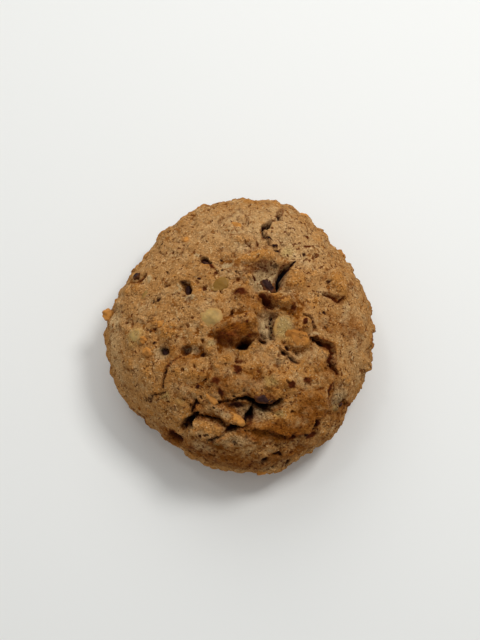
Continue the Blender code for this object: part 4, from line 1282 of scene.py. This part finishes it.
def grain_tint_group():
    """A colour made darker and redder, or lighter and paler, from grain to grain."""
    if "Grain tint" in bpy.data.node_groups:
        return bpy.data.node_groups["Grain tint"]
    group, given, result = new_group(
        "Grain tint",
        (
            ("Colour", "NodeSocketColor", (0.5, 0.5, 0.5, 1.0)),
            ("Grain", "NodeSocketFloat", 0.5),
            ("Darkest", "NodeSocketFloat", 0.7),
            ("Lightest", "NodeSocketFloat", 1.3),
        ),
        (("Colour", "NodeSocketColor"),),
    )
    light = add_node(group, "ShaderNodeCombineColor")
    for channel, power in GRAIN_TINTS:
        darkest = calculate(group, "POWER", given.outputs["Darkest"], power)
        lightest = calculate(group, "POWER", given.outputs["Lightest"], power)
        level = between(group, given.outputs["Grain"], 0.3, 0.7, darkest, lightest)
        group.links.new(level, light.inputs[channel])
    tinted = mix_colours(group, 1.0, given.outputs["Colour"], light.outputs["Color"], "MULTIPLY")
    group.links.new(tinted, result.inputs["Colour"])
    return group


def speckle_group():
    """Small ragged specks: a mask that is 1 in them."""
    if "Speckle" in bpy.data.node_groups:
        return bpy.data.node_groups["Speckle"]
    group, given, result = new_group(
        "Speckle",
        (
            ("Place", "NodeSocketVector", None),
            ("Scale", "NodeSocketFloat", 900.0),
            ("Amount", "NodeSocketFloat", 0.35),
        ),
        (("Mask", "NodeSocketFloat"),),
    )
    grain = add_node(
        group, "ShaderNodeTexNoise",
        {"Vector": given.outputs["Place"], "Scale": given.outputs["Scale"], "Detail": 2.0, "Roughness": 0.55},
    )
    lowered = calculate(group, "MULTIPLY", given.outputs["Amount"], 0.35)
    threshold = calculate(group, "SUBTRACT", 0.78, lowered)
    over = calculate(group, "SUBTRACT", grain.outputs["Fac"], threshold)
    group.links.new(between(group, over, 0.0, 0.05), result.inputs["Mask"])
    return group


def grain_group():
    """Floury grain in two sizes: values about a half, and a height for a bump."""
    if "Grain" in bpy.data.node_groups:
        return bpy.data.node_groups["Grain"]
    group, given, result = new_group(
        "Grain",
        (("Place", "NodeSocketVector", None), ("Scale", "NodeSocketFloat", 900.0)),
        (("Value", "NodeSocketFloat"), ("Fine", "NodeSocketFloat"), ("Height", "NodeSocketFloat")),
    )
    coarse = add_node(
        group, "ShaderNodeTexNoise",
        {"Vector": given.outputs["Place"], "Scale": given.outputs["Scale"], "Detail": 3.0, "Roughness": 0.6},
    )
    finer_scale = calculate(group, "MULTIPLY", given.outputs["Scale"], FINE_GRAIN)
    fine = add_node(
        group, "ShaderNodeTexNoise",
        {"Vector": given.outputs["Place"], "Scale": finer_scale, "Detail": 2.0, "Roughness": 0.6},
    )
    half_fine = calculate(group, "MULTIPLY", fine.outputs["Fac"], 0.5)
    height = calculate(group, "ADD", coarse.outputs["Fac"], half_fine)
    group.links.new(coarse.outputs["Fac"], result.inputs["Value"])
    group.links.new(fine.outputs["Fac"], result.inputs["Fine"])
    group.links.new(height, result.inputs["Height"])
    return group


def wrinkle_group():
    """Thin curling wrinkles here and there: a mask that is 1 in them."""
    if "Wrinkle" in bpy.data.node_groups:
        return bpy.data.node_groups["Wrinkle"]
    group, given, result = new_group(
        "Wrinkle",
        (("Place", "NodeSocketVector", None), ("Scale", "NodeSocketFloat", 330.0)),
        (("Mask", "NodeSocketFloat"),),
    )
    winding = add_node(
        group, "ShaderNodeTexNoise",
        {"Vector": given.outputs["Place"], "Scale": given.outputs["Scale"], "Detail": 1.5, "Distortion": 1.2},
    )
    off = calculate(group, "ABSOLUTE", calculate(group, "SUBTRACT", winding.outputs["Fac"], 0.5))
    line = between(group, off, 0.006, 0.020, 1.0, 0.0)
    patch_scale = calculate(group, "MULTIPLY", given.outputs["Scale"], 0.9)
    patch = add_node(
        group, "ShaderNodeTexNoise", {"Vector": given.outputs["Place"], "Scale": patch_scale}
    )
    kept = between(group, patch.outputs["Fac"], 0.56, 0.64)
    group.links.new(calculate(group, "MULTIPLY", line, kept), result.inputs["Mask"])
    return group


def place_group(tree, group, **inputs):
    """Places a node group in a material and returns it."""
    return add_node(tree, "ShaderNodeGroup", inputs, node_tree=group)


def ragged_share(tree, amount, grain, spread=1.3):
    """An amount turned into a share with grainy edges."""
    edge = place_group(tree, ragged_edge_group(), Amount=amount, Grain=grain, Spread=spread)
    return edge.outputs["Share"]


def grainy(tree, colour, grain, darkest, lightest):
    """A colour that differs from grain to grain."""
    levels = {"Darkest": darkest, "Lightest": lightest}
    return place_group(tree, grain_tint_group(), Colour=colour, Grain=grain, **levels).outputs["Colour"]


def halfway(first, second):
    """The colour in the middle between two."""
    return [(one + other) / 2 for one, other in zip(first, second)]


def times(colour, factor):
    """A colour made darker, or lighter past 1."""
    return [factor * part for part in colour]


def new_material(name, roughness):
    """A material with its own shader, and the piece's own coordinates."""
    material = bpy.data.materials.new(name)
    material.use_nodes = True
    tree = material.node_tree
    shader = tree.nodes["Principled BSDF"]
    shader.inputs["Roughness"].default_value = roughness
    place = add_node(tree, "ShaderNodeTexCoord").outputs["Object"]
    return material, tree, shader, place


def add_bump(tree, shader, height, distance, strength):
    """Feeds the shader's normal from a height."""
    bump = add_node(tree, "ShaderNodeBump", {"Height": height, "Distance": distance, "Strength": strength})
    tree.links.new(bump.outputs["Normal"], shader.inputs["Normal"])


def attribute(tree, name):
    """An amount that the mesh keeps for each vertex."""
    return add_node(tree, "ShaderNodeAttribute", attribute_name=name).outputs["Fac"]


def crust_material(colours):
    """Matt baked crust: tan with flour, golden on the high places, with specks, toasted and dark places and
    painted shade.
    """
    material, tree, shader, place = new_material("Baked crust", 0.9)
    amount = {name: attribute(tree, name) for name in (*STAINS, "raised", "crease")}
    patchy = place_group(tree, grain_group(), Place=place, Scale=260.0)
    blotch = patchy.outputs["Value"]
    mottle = place_group(tree, grain_group(), Place=place, Scale=800.0).outputs["Value"]
    flour = place_group(tree, grain_group(), Place=place, Scale=1900.0)
    many = between(tree, amount["speckled"], 0.0, 1.5, 0.42, 0.66)
    specks = place_group(tree, speckle_group(), Place=place, Scale=1100.0, Amount=many).outputs["Mask"]
    spots = place_group(tree, speckle_group(), Place=place, Scale=480.0, Amount=0.46).outputs["Mask"]
    wrinkles = place_group(tree, wrinkle_group(), Place=place, Scale=330.0).outputs["Mask"]
    ragged = calculate(tree, "MULTIPLY", calculate(tree, "ADD", mottle, flour.outputs["Value"]), 0.5)

    # Tan, golden where it is high, browned in patches, painted shade in the browned colour where it is low,
    # and pale where the crumb is open
    high = between(tree, amount["raised"], 0.58, 0.95, 0.0, 0.6)
    patches = between(tree, blotch, 0.50, 0.68, 0.0, 0.4)
    golden = calculate(tree, "ADD", calculate(tree, "ADD", high, patches), amount["golden"])
    colour = mix_colours(tree, ragged_share(tree, golden, mottle, 0.7), colours.tan, colours.golden)
    hollows = between(tree, amount["raised"], 0.15, 0.40, 0.62, 0.0)
    browned = calculate(tree, "ADD", amount["browned"], hollows)
    colour = mix_colours(tree, ragged_share(tree, browned, mottle, 1.0), colour, colours.browned)
    colour = mix_colours(tree, ragged_share(tree, amount["crumb"], ragged, 1.1), colour, colours.crumb)
    colour = mix_colours(tree, amount["ginger"], colour, colours.ginger)

    # Flour in the hollows of the grain, but not where it is browned by the oven or painted in shade
    powder = calculate(tree, "ADD", between(tree, blotch, 0.48, 0.32, 0.0, 0.5), amount["floury"])
    powder = calculate(tree, "MULTIPLY", powder, between(tree, ragged, 0.35, 0.6, 1.0, 0.35))
    powder = calculate(tree, "MULTIPLY", powder, between(tree, amount["browned"], 0.3, 1.0, 1.0, 0.15))
    colour = mix_colours(tree, powder, colour, colours.floury)

    # Toasted patches, painted shade in the creases, spots and specks
    colour = mix_colours(tree, ragged_share(tree, amount["toasted"], ragged), colour, colours.toasted)
    creases = calculate(tree, "MULTIPLY", amount["crease"], between(tree, mottle, 0.4, 0.6, 0.3, 0.8))
    colour = mix_colours(tree, creases, colour, colours.toasted)
    colour = mix_colours(tree, calculate(tree, "MULTIPLY", spots, 0.7), colour, colours.browned)
    reddest = calculate(tree, "MULTIPLY", spots, between(tree, amount["browned"], 0.5, 1.1, 0.0, 0.7))
    colour = mix_colours(tree, reddest, colour, colours.toasted)
    for mask, share in ((specks, 0.85), (wrinkles, 0.5)):
        colour = mix_colours(tree, calculate(tree, "MULTIPLY", mask, share), colour, colours.toasted)

    # Pale grains of sugar, then each grain a little darker or lighter
    sugar = place_group(tree, speckle_group(), Place=place, Scale=1500.0, Amount=0.48).outputs["Mask"]
    unbrowned = between(tree, amount["browned"], 0.2, 0.7, 0.55, 0.0)
    unbrowned = calculate(tree, "MULTIPLY", unbrowned, between(tree, amount["toasted"], 0.1, 0.5, 1.0, 0.0))
    colour = mix_colours(tree, calculate(tree, "MULTIPLY", sugar, unbrowned), colour, colours.floury)
    grained = grainy(tree, colour, flour.outputs["Value"], 0.65, 1.32)
    grained = grainy(tree, grained, flour.outputs["Fine"], 0.54, 1.50)
    colour = mix_colours(tree, between(tree, patchy.outputs["Fine"], 0.42, 0.62, 0.35, 1.0), colour, grained)

    # Scorched, dark and black come last, so that no grain lightens them. The black and much of the dark are
    # painted shade at the bottoms of cracks and holes
    burnt = between(tree, amount["toasted"], 0.4, 1.1, 0.0, 0.8)
    scorched = halfway(colours.toasted, colours.dark)
    colour = mix_colours(tree, ragged_share(tree, burnt, mottle, 1.8), colour, scorched)
    colour = mix_colours(tree, ragged_share(tree, amount["dark"], ragged, 0.9), colour, colours.dark)
    colour = mix_colours(tree, between(tree, amount["dark"], 0.92, 1.0), colour, colours.black)

    tree.links.new(colour, shader.inputs["Base Color"])
    tree.links.new(between(tree, amount["toasted"], 0.0, 1.0, 0.9, 0.7), shader.inputs["Roughness"])
    shader.inputs["Specular IOR Level"].default_value = 0.04
    sunken_specks = calculate(tree, "MULTIPLY", specks, 0.3)
    marks = calculate(tree, "ADD", calculate(tree, "MULTIPLY", wrinkles, 0.35), sunken_specks)
    height = calculate(tree, "SUBTRACT", flour.outputs["Height"], marks)
    add_bump(tree, shader, height, distance=0.0007, strength=0.9)
    return material


def ginger_material(colours):
    """Candied ginger: pale straw yellow, a little see-through, with crust over its edges."""
    material, tree, shader, place = new_material("Candied ginger", 0.5)
    shader.inputs["Specular IOR Level"].default_value = 0.12
    grain = place_group(tree, grain_group(), Place=place, Scale=500.0)
    mottle = place_group(tree, grain_group(), Place=place, Scale=900.0).outputs["Value"]
    deeper = times(colours.ginger, GINGER_SHADE)
    colour = mix_colours(tree, between(tree, grain.outputs["Value"], 0.4, 0.65), deeper, colours.ginger)
    deep = attribute(tree, "deep")
    colour = mix_colours(tree, deep, colour, colours.olive)
    rim = calculate(tree, "MULTIPLY", attribute(tree, "rim"), between(tree, deep, 0.5, 1.0, 1.0, 0.4))
    crusted = halfway(colours.tan, colours.ginger)
    colour = mix_colours(tree, ragged_share(tree, rim, mottle, 0.9), colour, crusted)
    tree.links.new(colour, shader.inputs["Base Color"])
    shader.inputs["Subsurface Weight"].default_value = 0.4
    shader.inputs["Subsurface Radius"].default_value = (0.0016, 0.0012, 0.0006)
    shader.inputs["Subsurface Scale"].default_value = 1.0
    add_bump(tree, shader, grain.outputs["Height"], distance=0.0003, strength=0.5)
    return material


def nut_material(colours):
    """Toasted nut: golden orange, browner in patches and at its edges."""
    material, tree, shader, place = new_material("Toasted nut", 0.6)
    shader.inputs["Specular IOR Level"].default_value = 0.1
    grain = place_group(tree, grain_group(), Place=place, Scale=600.0)
    colour = mix_colours(tree, between(tree, grain.outputs["Value"], 0.35, 0.6), colours.golden, colours.nut)
    rim = ragged_share(tree, calculate(tree, "MULTIPLY", attribute(tree, "rim"), 0.7), grain.outputs["Value"])
    colour = mix_colours(tree, rim, colour, colours.golden)
    colour = mix_colours(tree, attribute(tree, "deep"), colour, colours.browned)
    colour = grainy(tree, colour, grain.outputs["Value"], 0.75, 1.2)
    tree.links.new(colour, shader.inputs["Base Color"])
    add_bump(tree, shader, grain.outputs["Height"], distance=0.0004, strength=0.6)
    return material


def fruit_material(colours):
    """Dried fruit: dark purple-brown and wrinkled, with a dull shine."""
    material, tree, shader, place = new_material("Dried fruit", 0.6)
    shader.inputs["Specular IOR Level"].default_value = 0.08
    grain = place_group(tree, grain_group(), Place=place, Scale=700.0)
    lighter = times(colours.fruit, FRUIT_LIFT)
    colour = mix_colours(tree, between(tree, grain.outputs["Value"], 0.45, 0.7), colours.fruit, lighter)
    rim = ragged_share(tree, attribute(tree, "rim"), grain.outputs["Value"])
    colour = mix_colours(tree, calculate(tree, "MULTIPLY", rim, 0.35), colour, colours.browned)
    tree.links.new(colour, shader.inputs["Base Color"])
    add_bump(tree, shader, grain.outputs["Height"], distance=0.0004, strength=0.6)
    return material


def add_floor(settings):
    """A broad, pale, matt floor under the biscuit."""
    deselect_all()
    bpy.ops.mesh.primitive_plane_add(size=4, location=(0, 0, 0))
    floor = bpy.context.object
    floor.name = "floor"
    material, _, shader, _ = new_material("Pale floor", 0.7)
    shader.inputs["Base Color"].default_value = (*settings.floor, 1)
    floor.data.materials.append(material)


def add_light(name, power, place, size):
    """A square, soft light that shines at the biscuit."""
    deselect_all()
    bpy.ops.object.light_add(type="AREA", location=place)
    light = bpy.context.object
    light.name = name
    light.data.energy = power
    light.data.size = size
    light.rotation_euler = Vector(place).to_track_quat("Z", "Y").to_euler()


def add_sky(strength):
    """Even light from all round."""
    world = bpy.data.worlds.new("Soft sky")
    world.use_nodes = True
    background = world.node_tree.nodes["Background"]
    background.inputs["Color"].default_value = (1, 1, 1, 1)
    background.inputs["Strength"].default_value = strength
    bpy.context.scene.world = world


def add_camera():
    """The camera that looks down on the biscuit from the front."""
    camera = bpy.data.objects.new("camera", bpy.data.cameras.new("camera"))
    camera.data.lens = LENS
    turn = Matrix((RIGHT, UPWARDS, TOWARDS_EYE)).transposed()
    camera.matrix_world = Matrix.Translation(Vector(EYE * MM)) @ turn.to_4x4()
    bpy.context.scene.collection.objects.link(camera)
    bpy.context.scene.camera = camera


class BISCUIT_OT_set_stage(bpy.types.Operator):
    """Set up the floor, the lights and the camera."""

    bl_idname = "biscuit.set_stage"
    bl_label = "Set the stage"
    bl_options = {"REGISTER", "UNDO"}

    def execute(self, context):
        settings = context.scene.biscuit_stage
        add_floor(settings)
        add_sky(settings.sky)
        for setting, name, place, size in LIGHTS:
            add_light(name, getattr(settings, setting), place, size)
        add_camera()
        context.scene.view_settings.view_transform = "Standard"
        return {"FINISHED"}


class BISCUIT_PT_panel(bpy.types.Panel):
    """Lists the steps of making the biscuit."""

    bl_idname = "BISCUIT_PT_panel"
    bl_label = "Biscuit"
    bl_space_type = "VIEW_3D"
    bl_region_type = "UI"
    bl_category = "Biscuit"

    def draw(self, context):
        for group in ("biscuit_dough", "biscuit_colours", "biscuit_stage"):
            box = self.layout.box()
            settings = getattr(context.scene, group)
            for name in settings.__annotations__:
                box.prop(settings, name)
        for operator in OPERATORS:
            self.layout.operator(operator.bl_idname)


OPERATORS = (
    BISCUIT_OT_add_crust,
    BISCUIT_OT_add_ginger,
    BISCUIT_OT_add_nuts,
    BISCUIT_OT_add_fruit,
    BISCUIT_OT_set_stage,
)
CLASSES = (BISCUIT_PG_dough, BISCUIT_PG_colours, BISCUIT_PG_stage, *OPERATORS, BISCUIT_PT_panel)


def register():
    for made in CLASSES:
        bpy.utils.register_class(made)
    bpy.types.Scene.biscuit_dough = PointerProperty(type=BISCUIT_PG_dough)
    bpy.types.Scene.biscuit_colours = PointerProperty(type=BISCUIT_PG_colours)
    bpy.types.Scene.biscuit_stage = PointerProperty(type=BISCUIT_PG_stage)


def unregister():
    del bpy.types.Scene.biscuit_stage
    del bpy.types.Scene.biscuit_colours
    del bpy.types.Scene.biscuit_dough
    for made in reversed(CLASSES):
        bpy.utils.unregister_class(made)


def main():
    register()
    bpy.ops.biscuit.add_crust()
    bpy.ops.biscuit.add_ginger()
    bpy.ops.biscuit.add_nuts()
    bpy.ops.biscuit.add_fruit()
    bpy.ops.biscuit.set_stage()


if __name__ == "__main__":
    main()
